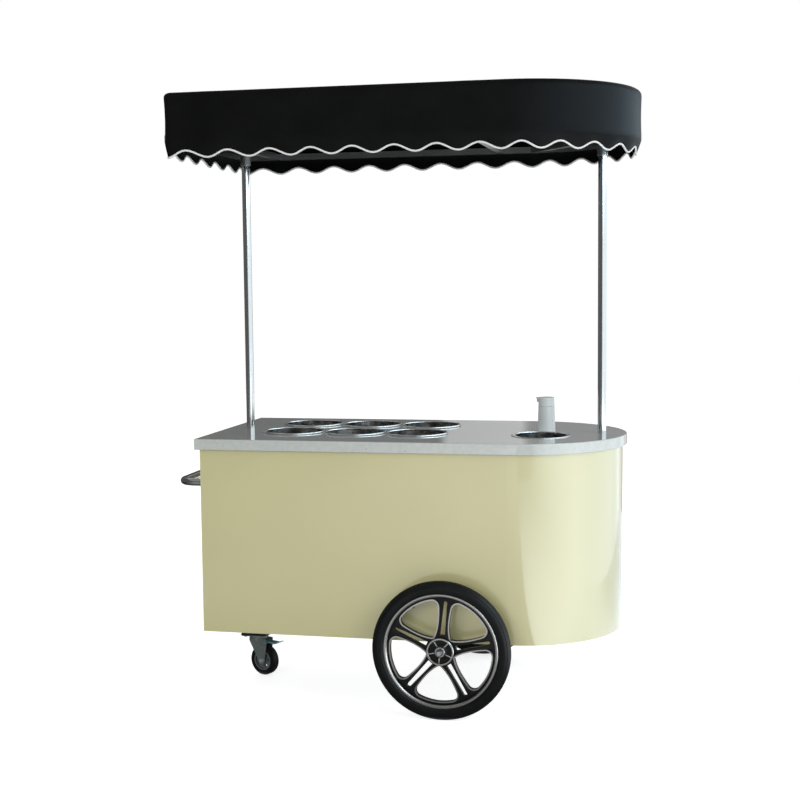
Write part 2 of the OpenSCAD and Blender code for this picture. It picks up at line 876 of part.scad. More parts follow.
module thermostat_knob() {
    skirt_y = panel_face + 8;
    grip_y = panel_face + 18;
    grip_r = knob_r - 3.6;
    pointer_w = 4;
    pointer_up = 2;
    color(white) translate([knob_x, 0, knob_z]) {
        rod_y(knob_shaft_r, panel_in - knob_shaft_in, skirt_y);
        rod_y(knob_r, panel_face + seat, skirt_y);
        rod_y(grip_r, skirt_y, grip_y);
        block([-pointer_w / 2, skirt_y + pointer_up, 0], [pointer_w / 2, grip_y + pointer_up, grip_r]);
    }
}

// Rocker turning in a round pocket, with two slanting faces
module power_switch() {
    face_slope = 14;
    face_out = rocker_r - 4.05;
    d = 2 * rocker_r;
    color([0.75, 0.10, 0.08]) translate([rocker_x, panel_face, knob_z]) rotate([-rocker_tilt, 0, 0])
        difference() {
            rotate([0, 90, 0]) cylinder(r = rocker_r, h = rocker_w, center = true);
            for (s = [-1, 1]) rotate([s * face_slope, 0, 0])
                block([-rocker_w, face_out, min(0, s * d)], [rocker_w, d, max(0, s * d)]);
        }
}

// Mains inlet: a socket with three blades in a flange
module mains_inlet() {
    inlet_w = 28;
    inlet_h = 30;
    inlet_t = 5;
    inlet_wall = 4;
    floor_t = 1;
    blade_t = 2;
    blade_h = 6;
    blade_pitch = 6;
    translate([panel_x + panel_w / 2, panel_face, knob_z]) {
        color(dark) difference() {
            block([-inlet_w / 2, 0, -inlet_h / 2], [inlet_w / 2, inlet_t, inlet_h / 2]);
            block([inlet_wall - inlet_w / 2, floor_t, inlet_wall - inlet_h / 2],
                  [inlet_w / 2 - inlet_wall, inlet_t + cut, inlet_h / 2 - inlet_wall]);
        }
        color(steel) for (i = [-1, 0, 1]) translate([i * blade_pitch, 0, 0])
            block([-blade_t / 2, floor_t / 2, -blade_h / 2], [blade_t / 2, inlet_t - floor_t / 2, blade_h / 2]);
    }
}

// Sink, tap and water

module sink_bowl() {
    corner = 35;
    color(steel) translate([sink_x, sink_y, rim_z]) difference() {
        rotate_extrude() difference() {
            union() {
                translate([0, -sink_depth]) square([sink_r - corner, sink_depth]);
                translate([0, corner - sink_depth]) square([sink_r, sink_depth - corner]);
                translate([sink_r - corner, corner - sink_depth]) circle(r = corner);
                square([sink_r + sink_rim, sink_t]);
                translate([sink_r + sink_rim, sink_t]) circle(r = sink_t);
            }
            translate([0, sink_t - sink_depth]) square([sink_r - corner, sink_depth + 3 * sink_t]);
            translate([0, corner - sink_depth]) square([sink_r - sink_t, sink_depth - corner + 3 * sink_t]);
            translate([sink_r - corner, corner - sink_depth]) circle(r = corner - sink_t);
            translate([sink_r + sink_rim - 2 * sink_t, -2 * sink_t]) square([6 * sink_t, 2 * sink_t]);
        }
        translate([0, 0, -sink_depth - cut]) cylinder(r = drain_r, h = sink_t + 2 * cut);
    }
}

// Strainer flange in the bowl, its tail pipe and the nut below
module sink_drain() {
    floor_z = rim_z - sink_depth;
    cap_top = tank_top + tank_neck_h + cap_t;
    strainer_t = 2;
    nut_out = 3;
    nut_h = 14;
    pipe_wall = 3;
    hole_r = 2.5;
    hole_circle_r = 8;
    color(steel) translate([sink_x, sink_y, 0]) difference() {
        union() {
            translate([0, 0, floor_z + sink_t]) cylinder(r = drain_seat_r, h = strainer_t);
            translate([0, 0, cap_top]) cylinder(r = drain_r - seat, h = floor_z + sink_t - cap_top);
            translate([0, 0, floor_z - nut_h]) cylinder(r = drain_seat_r + nut_out, h = nut_h);
        }
        translate([0, 0, cap_top - cut]) cylinder(r = drain_r - pipe_wall, h = floor_z - cap_top);
        for (a = [0:60:300]) rotate([0, 0, a]) translate([hole_circle_r, 0, floor_z - nut_h / 2])
            cylinder(r = hole_r, h = 2 * nut_h);
    }
}

// Blow-moulded canister with a short neck, its front face at y0
module tank(y0, neck) {
    shell = [tank_wall, tank_wall, tank_wall];
    difference() {
        union() {
            block([tank_x, y0, shelf_z], [tank_x + tank_l, y0 + tank_w, tank_top]);
            translate([neck[0], neck[1], tank_top - cut]) cylinder(r = tank_neck_r, h = tank_neck_h + cut);
        }
        block([tank_x, y0, shelf_z] + shell, [tank_x + tank_l, y0 + tank_w, tank_top] - shell);
        translate([neck[0], neck[1], tank_top - 2 * tank_wall])
            cylinder(r = tank_neck_r - tank_wall, h = tank_neck_h + 2 * tank_wall + cut);
    }
}

module waste_tank() {
    color([0.55, 0.60, 0.65]) tank(waste_y, waste_neck);
}

module fresh_tank() {
    color(white) tank(fresh_y, fresh_neck);
}

module tank_caps() {
    cap_r = tank_neck_r + 3;
    cap_lip = 4;
    color(dark) {
        translate([waste_neck[0], waste_neck[1], tank_top + tank_neck_h])
            tube_ring(cap_r, drain_r - cap_lip, cap_t);
        translate([fresh_neck[0], fresh_neck[1], tank_top + tank_neck_h])
            cylinder(r = cap_r, h = cap_t);
    }
}

module water_pump() {
    color(dark) translate([tap_x, pump_y, tank_top]) {
        cylinder(r = pump_r, h = pump_h);
        translate([0, 0, pump_h]) cylinder(r = hose_r, h = pump_neck_h);
    }
}

module supply_hose() {
    foot = [tap_x, pump_y, tank_top + pump_h + pump_neck_h];
    top = [tap_x, tap_y, rim_z - shank_l];
    past = cut * (top - foot) / norm(top - foot);
    color(white) difference() {
        pipe([foot, top], hose_r);
        pipe([foot - past, top + past], hose_bore_r);
    }
}

// White column with its threaded shank and back nut under the counter
module tap_column() {
    head_z = tap_h - tap_head_h;
    top_r = tap_foot_r + (tap_top_r - tap_foot_r) * head_z / tap_h;
    back_nut_r = 20;
    back_nut_h = 10;
    water_r = 5;
    color(white) translate([tap_x, tap_y, rim_z]) difference() {
        union() {
            cylinder(r1 = tap_foot_r, r2 = top_r, h = head_z);
            translate([0, 0, -shank_l]) cylinder(r = shank_r, h = shank_l + cut);
            translate([0, 0, rim_seat - counter_t - back_nut_h])
                cylinder(r = back_nut_r, h = back_nut_h, $fn = 6);
        }
        translate([0, 0, head_z - spigot_l - seat]) cylinder(r = spigot_r + run_fit, h = spigot_l + 2 * cut);
        translate([0, 0, -shank_l - cut]) cylinder(r = water_r, h = shank_l + head_z - spigot_l);
    }
}

// Turning head with its beak spout pointing along -X at rest
module tap_head() {
    head_z = tap_h - tap_head_h;
    low_r = tap_foot_r + (tap_top_r - tap_foot_r) * head_z / tap_h;
    spout_w = 18;
    spout_root = 8 - tap_top_r;
    spout_tip = -tap_top_r - spout_reach;
    tip_h = 4;
    root_h = 24;
    outlet_r = 4;
    outlet_x = -tap_top_r - 3;
    outlet_z = tap_h - 18;
    outlet_h = 10;
    color(white) translate([tap_x, tap_y, rim_z]) {
        translate([0, 0, head_z + seat]) cylinder(r1 = low_r, r2 = tap_top_r, h = tap_head_h - seat);
        translate([0, 0, head_z - spigot_l]) cylinder(r = spigot_r, h = spigot_l + cut);
        translate([0, spout_w / 2, 0]) rotate([90, 0, 0]) linear_extrude(spout_w)
            polygon([[spout_root, tap_h], [spout_tip, tap_h],
                     [spout_tip, tap_h - tip_h], [spout_root, tap_h - root_h]]);
        translate([outlet_x, 0, outlet_z]) cylinder(r = outlet_r, h = outlet_h);
    }
}

// Canopy

module canopy_poles() {
    color(steel) for (x = pole_xs)
        translate([x, 0, pole_foot_z]) tube_ring(pole_r, pole_r - pole_wall, bar_z - pole_foot_z);
}

module pole_sockets() {
    color(steel) for (x = pole_xs) translate([x, 0, pole_foot_z]) {
        tube_ring(socket_r, pole_r + loose / 2, socket_h);
        tube_ring(socket_r + socket_foot_out, pole_r + loose / 2, socket_foot_t);
    }
}

// Bar lying flat from one plan point to another
module plan_bar(a, b, z, s) {
    d = b - a;
    translate([a[0], a[1], z]) rotate([0, 0, atan2(d[1], d[0])])
        translate([0, -s / 2, 0]) cube([norm(d), s, s]);
}

// Ring under the skirt, cross bars over the poles, two slanting bars and the sleeves for the poles
module canopy_lower_frame() {
    right_x = pole_xs[1];
    color(steel) {
        translate([0, 0, bar_z]) linear_extrude(bar) difference() {
            canopy_plan(ring_in);
            canopy_plan(ring_in + bar);
        }
        for (x = [pole_left, cross_bar_x]) bar_y(x, -ring_y, ring_y, bar_z, bar);
        for (s = [-1, 1]) plan_bar([canopy_round_x, s * ring_y], [right_x, 0], bar_z + weld, bar - 2 * weld);
        bar_x(right_x - bar / 2, canopy_x + canopy_l - ring_in - bar / 2, 0, bar_z, bar);
        for (x = pole_xs) translate([x, 0, bar_z - sleeve_l])
            tube_ring(socket_r, pole_r + loose / 2, sleeve_l + cut);
    }
}

module canopy_upper_frame() {
    color(steel) {
        translate([0, 0, frame_top_z - bar]) linear_extrude(bar) difference() {
            canopy_plan(top_edge);
            canopy_plan(top_edge + bar);
        }
        for (x = [pole_left, cross_bar_x])
            bar_y(x, top_edge - canopy_w / 2 + cut, canopy_w / 2 - top_edge - cut, frame_top_z - bar, bar);
    }
}

// Uprights between the two canopy frames
module canopy_posts() {
    y = canopy_w / 2 - top_edge - bar / 2;
    tip_x = canopy_x + canopy_l - top_edge - bar / 2;
    color(steel) {
        for (x = [canopy_x + top_edge + bar / 2, cross_bar_x / 2, cross_bar_x], s = [-1, 1])
            block([x - post_side / 2, s * y - post_side / 2, bar_z + bar],
                  [x + post_side / 2, s * y + post_side / 2, frame_top_z - bar]);
        block([tip_x - post_side / 2, -post_side / 2, bar_z + bar],
              [tip_x + post_side / 2, post_side / 2, frame_top_z - bar]);
    }
}

// Points round the canopy's plan drawn in by g, wave_steps to a scallop
function canopy_outline(g) = let (
    xa = canopy_x + g,
    r = canopy_w / 2 - g,
    run = canopy_round_x - xa,
    n_long = long_scallops * wave_steps,
    n_round = round_scallops * wave_steps,
    n_end = end_scallops * wave_steps)
    concat(
        [for (i = [0:n_long - 1]) [xa + run * i / n_long, -r]],
        [for (i = [0:n_round - 1]) let (a = 180 * i / n_round - 90)
            [canopy_round_x + r * cos(a), r * sin(a)]],
        [for (i = [0:n_long - 1]) [canopy_round_x - run * i / n_long, r]],
        [for (i = [0:n_end - 1]) [xa, r - 2 * r * i / n_end]]);

function level_ring(g, z) = [for (p = canopy_outline(g)) [p[0], p[1], z]];
function hem_ring(g) = let (outline = canopy_outline(g))
    [for (i = [0:len(outline) - 1])
        [outline[i][0], outline[i][1], hem_z - hem_wave * cos(360 * i / wave_steps)]];

// Cloth over the frame: flat top, straight skirt and a scalloped valance below the frame bar
module canopy_cover() {
    rings = [
        hem_ring(hem_in), level_ring(0, crease_z), level_ring(0, canopy_z - top_edge),
        level_ring(top_edge, canopy_z), level_ring(cloth_t, canopy_z - cloth_t),
        level_ring(cloth_t, crease_z), hem_ring(hem_in + cloth_t)
    ];
    n = len(rings[0]);
    top = 3;
    tip = (long_scallops + floor(round_scallops / 2)) * wave_steps;
    strips = [[0, 1], [1, 2], [2, 3], [4, 5], [5, 6], [6, 0]];
    faces = concat(
        [for (s = strips, i = [0:n - 1]) [s[0] * n + i, s[0] * n + (i + 1) % n, s[1] * n + i]],
        [for (s = strips, i = [0:n - 1]) [s[1] * n + i, s[0] * n + (i + 1) % n, s[1] * n + (i + 1) % n]],
        [for (i = [1:n - 2]) [top * n + tip, top * n + (tip + i) % n, top * n + (tip + i + 1) % n]],
        [for (i = [1:n - 2])
            [(top + 1) * n + tip, (top + 1) * n + (tip + i + 1) % n, (top + 1) * n + (tip + i) % n]]);
    color(dark) polyhedron([for (ring = rings, p = ring) p], faces);
}

// Handle

// Middle line of the handle as solid rod of radius r, open towards the cabinet
module handle_rod(r) {
    x_grip = overhang - handle_reach + handle_r;
    x_bend = x_grip + handle_bend;
    y_arm = handle_w / 2;
    for (s = [-1, 1]) {
        translate([x_bend, s * y_arm, handle_z]) rotate([0, 90, 0]) cylinder(r = r, h = overhang - x_bend);
        translate([x_bend, s * (y_arm - handle_bend), handle_z]) rotate([0, 0, s > 0 ? 90 : 180])
            rotate_extrude(angle = 90) translate([handle_bend, 0]) circle(r = r);
    }
    translate([x_grip, 0, handle_z]) rod_y(r, handle_bend - y_arm, y_arm - handle_bend);
}

// Screw places of one flange, Z pointing into the cabinet from the panel's face
module handle_screw_places(s) {
    translate([overhang, s * handle_w / 2, handle_z]) rotate([0, 90, 0])
        for (i = [0:screws - 1]) rotate([0, 0, i * 360 / screws]) translate([screw_circle_r, 0, 0]) children();
}

module push_handle() {
    color(steel) difference() {
        union() {
            handle_rod(handle_r);
            for (s = [-1, 1]) translate([overhang - flange_t, s * handle_w / 2, handle_z])
                rotate([0, 90, 0]) cylinder(r = flange_r, h = flange_t);
        }
        handle_rod(handle_r - handle_wall);
        for (s = [-1, 1]) handle_screw_places(s)
            translate([0, 0, -flange_t - cut]) cylinder(r = screw_hole_r, h = flange_t + 2 * cut);
    }
}

// Screws of the handle's flanges and bolts of the caster's plate
module fixing_bolts() {
    color(steel) {
        for (s = [-1, 1]) handle_screw_places(s) {
            translate([0, 0, -flange_t - screw_head_t]) cylinder(r = screw_head_r, h = screw_head_t);
            translate([0, 0, -flange_t]) cylinder(r = screw_r, h = flange_t + skin_t + screw_past);
        }
        for (sx = [-1, 1], sy = [-1, 1])
            translate([caster_x + sx * caster_hole_dx / 2, sy * caster_hole_dy / 2, caster_h]) {
                translate([0, 0, -plate_t - fixing_head_t])
                    cylinder(r = fixing_head_r, h = fixing_head_t, $fn = 6);
                translate([0, 0, -plate_t]) cylinder(r = fixing_r, h = plate_t + riser_plate_t + fixing_past);
            }
    }
}

// Wheels

module axle() {
    color(steel) translate([wheel_x, 0, axle_z]) {
        rod_y(axle_r, seat - wheel_y + hub_w / 2, wheel_y - hub_w / 2 - seat);
        rod_y(journal_r, -hub_out - seat, hub_out + seat);
        rod_y(thread_r, -axle_end, axle_end);
    }
}

// Saddle blocks that hold the axle under the tray
module axle_blocks() {
    color(dark) for (s = [-1, 1]) translate([wheel_x, s * block_y, 0]) difference() {
        block([-block_l / 2, -block_w / 2, axle_z - block_under], [block_l / 2, block_w / 2, tray_z]);
        translate([0, 0, axle_z]) rod_y(axle_r + run_fit, -block_w, block_w);
    }
}

// Flanged nuts on the ends of the axle
module axle_nuts() {
    color(steel) for (s = [0, 180]) translate([wheel_x, 0, axle_z]) rotate([0, 0, s]) difference() {
        union() {
            rod_y(washer_r, hub_out + seat, hub_out + seat + washer_t);
            translate([0, hub_out + seat + washer_t, 0]) rotate([-90, 0, 0])
                cylinder(r = nut_r, h = nut_h, $fn = 6);
        }
        rod_y(thread_r + run_fit, hub_out, axle_end + cut);
    }
}

// Turns a shape made round Z into a wheel on the axle's line, its outer face away from the cart
module wheel_place(side) {
    translate([wheel_x, side * wheel_y, axle_z]) rotate([90, 0, side > 0 ? 180 : 0]) children();
}

module tyre(side) {
    section_r = tyre_w / 2;
    bead_w = rim_w - 2 * rim_edge - 2 * seat;
    color(dark) wheel_place(side) rotate_extrude() difference() {
        union() {
            translate([wheel_r - section_r, 0]) circle(r = section_r);
            translate([rim_r - rim_well + seat, -bead_w / 2]) square([rim_well + section_r / 2, bead_w]);
        }
        square([2 * (rim_r - rim_well + seat), 4 * tyre_w], center = true);
    }
}

// Outline of one window: a rounded apex at the hub, curved sides, round corners, an arc along the rim
function bezier(a, b, c, t) = (1 - t) * (1 - t) * a + 2 * t * (1 - t) * b + t * t * c;
function window_side() = let (
    corner_r = 22,
    corner_turn = 19.2,
    corner = (window_r - corner_r) * [cos(corner_turn), sin(corner_turn)],
    tip_out = 5,
    apex_out = 8,
    apex_side = 5,
    pull_out = 32.4,
    pull_side = 39.8,
    apex = [hub_r + apex_out, apex_side],
    pull = [hub_r + pull_out, pull_side],
    leave = 118,
    side_end = corner + corner_r * [cos(leave), sin(leave)])
    concat(
        [[hub_r + tip_out, 0]],
        [for (i = [0:7]) bezier(apex, pull, side_end, i / 7)],
        [for (i = [1:6]) let (a = leave + (corner_turn - leave) * i / 6) corner + corner_r * [cos(a), sin(a)]],
        [for (i = [1:4]) let (a = corner_turn * (1 - i / 4)) window_r * [cos(a), sin(a)]]);
function mirrored(points) = [for (i = [len(points) - 2:-1:1]) [points[i][0], -points[i][1]]];
function window_outline() = concat(window_side(), mirrored(window_side()));

// Cast wheel: channel rim, split spokes, hub with five ribs round the bearing seat
module rim(side) {
    slot_in = hub_r + 7;
    slot_out = window_r - 5;
    slot_in_w = 17;
    slot_out_w = 10;
    well_t = 10;
    bore_r = bearing_r - 4;
    pocket_in = bearing_r + 5;
    pocket_out = hub_r - 7;
    pocket_d = 8;
    rib_w = 6;
    step = 360 / spokes;
    color(dark) wheel_place(side) difference() {
        union() {
            rotate_extrude() {
                translate([rim_r - rim_well - well_t, -rim_w / 2]) square([well_t, rim_w]);
                for (s = [0, 1]) mirror([0, s]) translate([rim_r - rim_well - cut, rim_w / 2 - rim_edge])
                    square([rim_well + cut - rim_edge / 2, rim_edge]);
                for (s = [0, 1]) mirror([0, s])
                    translate([rim_r - rim_edge / 2, (rim_w - rim_edge) / 2]) circle(r = rim_edge / 2);
            }
            translate([0, 0, -spoke_t / 2]) linear_extrude(spoke_t) difference() {
                circle(r = rim_r - rim_well - well_t / 2);
                for (i = [0:spokes - 1]) {
                    rotate(spoke_turn + (i + 0.5) * step) polygon(window_outline());
                    rotate(spoke_turn + i * step)
                        polygon([[slot_in, -slot_in_w / 2], [slot_out, -slot_out_w / 2],
                                 [slot_out, slot_out_w / 2], [slot_in, slot_in_w / 2]]);
                }
            }
            translate([0, 0, -hub_w / 2]) cylinder(r = hub_r, h = hub_w);
        }
        translate([0, 0, -hub_w]) cylinder(r = bore_r, h = 2 * hub_w);
        for (z = [-hub_w / 2 - cut, hub_w / 2 - bearing_w])
            translate([0, 0, z]) cylinder(r = bearing_r, h = bearing_w + cut);
        translate([0, 0, hub_w / 2 - pocket_d]) linear_extrude(pocket_d + cut) difference() {
            circle(r = pocket_out);
            circle(r = pocket_in);
            for (i = [0:spokes - 1]) rotate(spoke_turn + (i + 0.5) * step)
                translate([0, -rib_w / 2]) square([hub_r, rib_w]);
        }
    }
}

module bearings(side) {
    color(steel) wheel_place(side) for (z = [-hub_w / 2, hub_w / 2 - bearing_w])
        translate([0, 0, z]) tube_ring(bearing_r - press_fit, journal_r + run_fit, bearing_w);
}

// Caster

// Caster frame: the origin on the swivel axis, X the way the wheel trails
module caster_place() {
    translate([caster_x, 0, 0]) rotate([0, 0, caster_turn]) children();
}

// Drop bracket between the tray and the caster's plate
module caster_riser() {
    web_y = caster_hole_dy / 2 + 16;
    web_t = 5;
    top_out = 30;
    foot_out = 5;
    color(dark) translate([caster_x, 0, 0]) difference() {
        union() {
            block([-riser_l / 2, -web_y - top_out, tray_z - riser_plate_t],
                  [riser_l / 2, web_y + top_out, tray_z]);
            block([-caster_plate_l / 2, -web_y - foot_out, caster_h],
                  [caster_plate_l / 2, web_y + foot_out, caster_h + riser_plate_t]);
            for (s = [-1, 1]) block([-caster_plate_l / 2, s * web_y - web_t / 2, caster_h],
                                    [caster_plate_l / 2, s * web_y + web_t / 2, tray_z]);
        }
        for (sx = [-1, 1], sy = [-1, 1])
            translate([sx * caster_hole_dx / 2, sy * caster_hole_dy / 2, caster_h - cut])
                cylinder(r = fixing_r + loose, h = riser_plate_t + 2 * cut);
    }
}

// Top plate with the upper bearing race and the riveted swivel pin
module caster_plate() {
    color(zinc) translate([caster_x, 0, 0]) difference() {
        union() {
            block([-caster_plate_l / 2, -caster_plate_w / 2, caster_h - plate_t],
                  [caster_plate_l / 2, caster_plate_w / 2, caster_h]);
            translate([0, 0, crown_top + seat]) cylinder(r = race_r, h = race_t + cut);
            translate([0, 0, crown_under - seat - rivet_t])
                cylinder(r = king_r, h = caster_h - crown_under + seat + rivet_t);
            translate([0, 0, crown_under - seat - rivet_t]) cylinder(r = rivet_r, h = rivet_t);
        }
        for (sx = [-1, 1], sy = [-1, 1])
            translate([sx * caster_hole_dx / 2, sy * caster_hole_dy / 2, caster_h - plate_t - cut])
                cylinder(r = fixing_r + loose, h = plate_t + 2 * cut);
    }
}

// Swivel fork: a round crown and two legs leaning back to the axle
module caster_fork() {
    eye_r = 15;
    leg_back = -24;
    leg_front = pedal_pin_s + 8;
    shoulder = 4;
    pin_land = 6;
    crown_r = race_r + 2;
    bridge_front = 30;
    bridge_top = crown_top - 2;
    leg = [[leg_back, bridge_top], [leg_back, crown_under - shoulder], [caster_trail - eye_r, caster_r],
           [caster_trail + eye_r, caster_r], [leg_front, pedal_pin_z - pin_land], [leg_front, bridge_top]];
    color(zinc) caster_place() difference() {
        union() {
            translate([0, 0, crown_under]) cylinder(r = crown_r, h = crown_t);
            block([leg_back, -leg_out, crown_under], [bridge_front, leg_out, bridge_top]);
            for (s = [-1, 1]) translate([0, s * (leg_in + fork_t / 2), 0]) rotate([90, 0, 0])
                translate([0, 0, -fork_t / 2]) linear_extrude(fork_t) {
                    polygon(leg);
                    translate([caster_trail, caster_r]) circle(r = eye_r);
                }
        }
        translate([0, 0, crown_under - cut]) cylinder(r = king_r + run_fit, h = crown_t + 2 * cut);
        translate([caster_trail, 0, caster_r]) rod_y(caster_bolt_r + run_fit, -2 * leg_out, 2 * leg_out);
        translate([pedal_pin_s, 0, pedal_pin_z]) rod_y(pedal_pin_r + run_fit, -2 * leg_out, 2 * leg_out);
    }
}

// Axle bolt with its head on one leg and a nut on the other
module caster_axle() {
    head_r = 9;
    head_t = 5;
    nut_t = 7;
    color(steel) caster_place() translate([caster_trail, 0, caster_r]) {
        rod_y(caster_bolt_r, -leg_out - head_t, leg_out + nut_t + cut);
        translate([0, -leg_out - head_t, 0]) rotate([-90, 0, 0]) cylinder(r = head_r, h = head_t, $fn = 6);
        translate([0, leg_out, 0]) rotate([-90, 0, 0]) cylinder(r = head_r, h = nut_t, $fn = 6);
    }
}

// Plastic core with a moulded rubber tread
module caster_wheel() {
    round_r = 8;
    tread_in = 4;
    disc_t = 12;
    boss_r = 13;
    boss_out = 1.5;
    hole_r = 7;
    hole_circle_r = 25;
    color(dark) caster_place() translate([caster_trail, 0, caster_r]) rotate([90, 0, 0]) difference() {
        union() {
            rotate_extrude() {
                translate([caster_core_r - tread_in, -caster_w / 2])
                    square([caster_r - caster_core_r + tread_in - round_r, caster_w]);
                translate([caster_core_r, round_r - caster_w / 2])
                    square([caster_r - caster_core_r, caster_w - 2 * round_r]);
                for (s = [-1, 1]) translate([caster_r - round_r, s * (caster_w / 2 - round_r)])
                    circle(r = round_r);
            }
            translate([0, 0, -disc_t / 2]) cylinder(r = caster_core_r, h = disc_t);
            translate([0, 0, -caster_w / 2 - boss_out]) cylinder(r = boss_r, h = caster_w + 2 * boss_out);
        }
        translate([0, 0, -caster_w]) cylinder(r = caster_bolt_r + run_fit, h = 2 * caster_w);
        for (a = [0:72:288]) rotate([0, 0, a]) translate([hole_circle_r, 0, -caster_w])
            cylinder(r = hole_r, h = 2 * caster_w);
    }
}

// Brake pedal on its pin, with the tread plate over the wheel
module brake_pedal() {
    pedal_l = 50;
    pedal_w = 2 * leg_in - 4;
    pedal_t = 4;
    pedal_up = 5;
    pedal_slope = 2;
    sleeve_r = 6;
    lip_l = 16;
    lip_turn = 20;
    lip_out = 4;
    lip_in = 2;
    lip_lap = 5;
    color([0.15, 0.42, 0.46]) caster_place() translate([pedal_pin_s, 0, pedal_pin_z]) {
        rod_y(pedal_pin_r, -leg_out, leg_out);
        rod_y(sleeve_r, -pedal_w / 2, pedal_w / 2);
        rotate([0, pedal_slope, 0]) {
            block([cut, weld - pedal_w / 2, pedal_up - pedal_t], [pedal_l, pedal_w / 2 - weld, pedal_up]);
            translate([pedal_l - lip_in, 0, pedal_up]) rotate([0, -lip_turn, 0])
                block([-lip_lap, -pedal_w / 2 - lip_out, -pedal_t], [lip_l, pedal_w / 2 + lip_out, 0]);
        }
    }
}

module place() {
    translate([-origin_x, 0, 0]) children();
}

place() counter();
place() body_skin();
place() end_panel();
place() back_panel();
place() floor_tray();
place() body_frame();
place() service_door();
place() water_door();
place() door_hinges();
place() freezer_liner();
place() insulation();
place() evaporator();
place() tub(tub_xs[0], tub_front_y);  // tub_front_left
place() tub(tub_xs[1], tub_front_y);  // tub_front_middle
place() tub(tub_xs[2], tub_front_y);  // tub_front_right
place() tub(tub_xs[0], tub_back_y);  // tub_back_left
place() tub(tub_xs[1], tub_back_y);  // tub_back_middle
place() tub(tub_xs[2], tub_back_y);  // tub_back_right
place() compressor();
place() compressor_feet();
place() condenser();
place() fan_motor();
place() fan_blades();
place() refrigerant_lines();
place() control_panel();
place() thermostat_knob();
place() power_switch();
place() mains_inlet();
place() sink_bowl();
place() sink_drain();
place() waste_tank();
place() fresh_tank();
place() tank_caps();
place() water_pump();
place() supply_hose();
place() tap_column();
place() tap_head();
place() canopy_poles();
place() pole_sockets();
place() canopy_lower_frame();
place() canopy_upper_frame();
place() canopy_posts();
place() canopy_cover();
place() push_handle();
place() fixing_bolts();
place() axle();
place() axle_blocks();
place() axle_nuts();
place() tyre(-1);  // front_tyre
place() rim(-1);  // front_rim
place() bearings(-1);  // front_bearings
place() tyre(1);  // back_tyre
place() rim(1);  // back_rim
place() bearings(1);  // back_bearings
place() caster_riser();
place() caster_plate();
place() caster_fork();
place() caster_axle();
place() caster_wheel();
place() brake_pedal();
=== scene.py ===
"""Dresses the ice cream push cart: finishes for every piece, the cloth canopy with its piping,
tyres, cast wheels, caster wheel and tap. Lengths are metres, in the part's own frame."""
import math

import bmesh
import bpy
from mathutils import Matrix, Vector, noise


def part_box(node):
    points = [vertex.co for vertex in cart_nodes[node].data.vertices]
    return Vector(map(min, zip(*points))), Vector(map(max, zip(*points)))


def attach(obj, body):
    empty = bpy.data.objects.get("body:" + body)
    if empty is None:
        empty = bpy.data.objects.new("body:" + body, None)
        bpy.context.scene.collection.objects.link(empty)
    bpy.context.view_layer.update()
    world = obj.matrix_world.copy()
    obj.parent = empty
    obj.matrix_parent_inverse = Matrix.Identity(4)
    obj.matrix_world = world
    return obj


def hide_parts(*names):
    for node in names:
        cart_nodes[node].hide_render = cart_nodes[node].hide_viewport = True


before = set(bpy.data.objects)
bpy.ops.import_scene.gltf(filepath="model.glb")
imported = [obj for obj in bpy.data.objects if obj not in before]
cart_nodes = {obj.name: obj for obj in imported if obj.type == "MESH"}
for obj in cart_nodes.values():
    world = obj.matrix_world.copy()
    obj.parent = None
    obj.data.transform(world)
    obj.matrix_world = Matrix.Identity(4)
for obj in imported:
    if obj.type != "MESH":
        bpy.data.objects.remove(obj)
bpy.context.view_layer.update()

# Units, and the boxes of the construction's nodes
MM = 0.001
UP = Vector((0, 0, 1))


def box(node):
    low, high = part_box(node)
    return Vector(low), Vector(high)


def middle(node):
    low, high = box(node)
    return (low + high) / 2


# Shader maths

class Signal:
    """An output socket that takes part in Python arithmetic."""

    def __init__(self, finish, socket):
        self.finish = finish
        self.socket = socket

    def maths(self, operation, first, second=0.0):
        return self.finish.add("ShaderNodeMath", {"operation": operation}, {0: first, 1: second})

    def __add__(self, other):
        return self.maths("ADD", self, other)

    def __sub__(self, other):
        return self.maths("SUBTRACT", self, other)

    def __mul__(self, other):
        return self.maths("MULTIPLY", self, other)

    def __truediv__(self, other):
        return self.maths("DIVIDE", self, other)

    def __gt__(self, other):
        return self.maths("GREATER_THAN", self, other)

    def __lt__(self, other):
        return self.maths("LESS_THAN", self, other)

    def sine(self):
        return self.maths("SINE", self)

    def root(self):
        return self.maths("SQRT", self)

    __radd__ = __add__


class Nodes:
    """A node tree to which nodes are added with their settings and inputs."""

    def __init__(self, tree):
        self.tree = tree

    def feed(self, socket, value):
        if isinstance(value, Signal):
            self.tree.links.new(value.socket, socket)
        else:
            socket.default_value = value

    def add(self, kind, settings, inputs, output=0):
        node = self.tree.nodes.new(kind)
        stops = settings.pop("stops", None)
        for name, value in settings.items():
            setattr(node, name, value)
        for i, (at, colour) in enumerate(stops or []):
            stop = node.color_ramp.elements[i] if i < 2 else node.color_ramp.elements.new(at)
            stop.position = at
            stop.color = (*colour, 1)
        for name, value in inputs.items():
            self.feed(node.inputs[name], value)
        return Signal(self, node.outputs[output])

    def seen(self):
        """1 where the camera looks straight, by a reflection or through glass, and 0 for soft light."""
        rays = ("Is Camera Ray", "Is Glossy Ray", "Is Transmission Ray")
        camera, mirror, through = (self.add("ShaderNodeLightPath", {}, {}, ray) for ray in rays)
        return camera + mirror + through


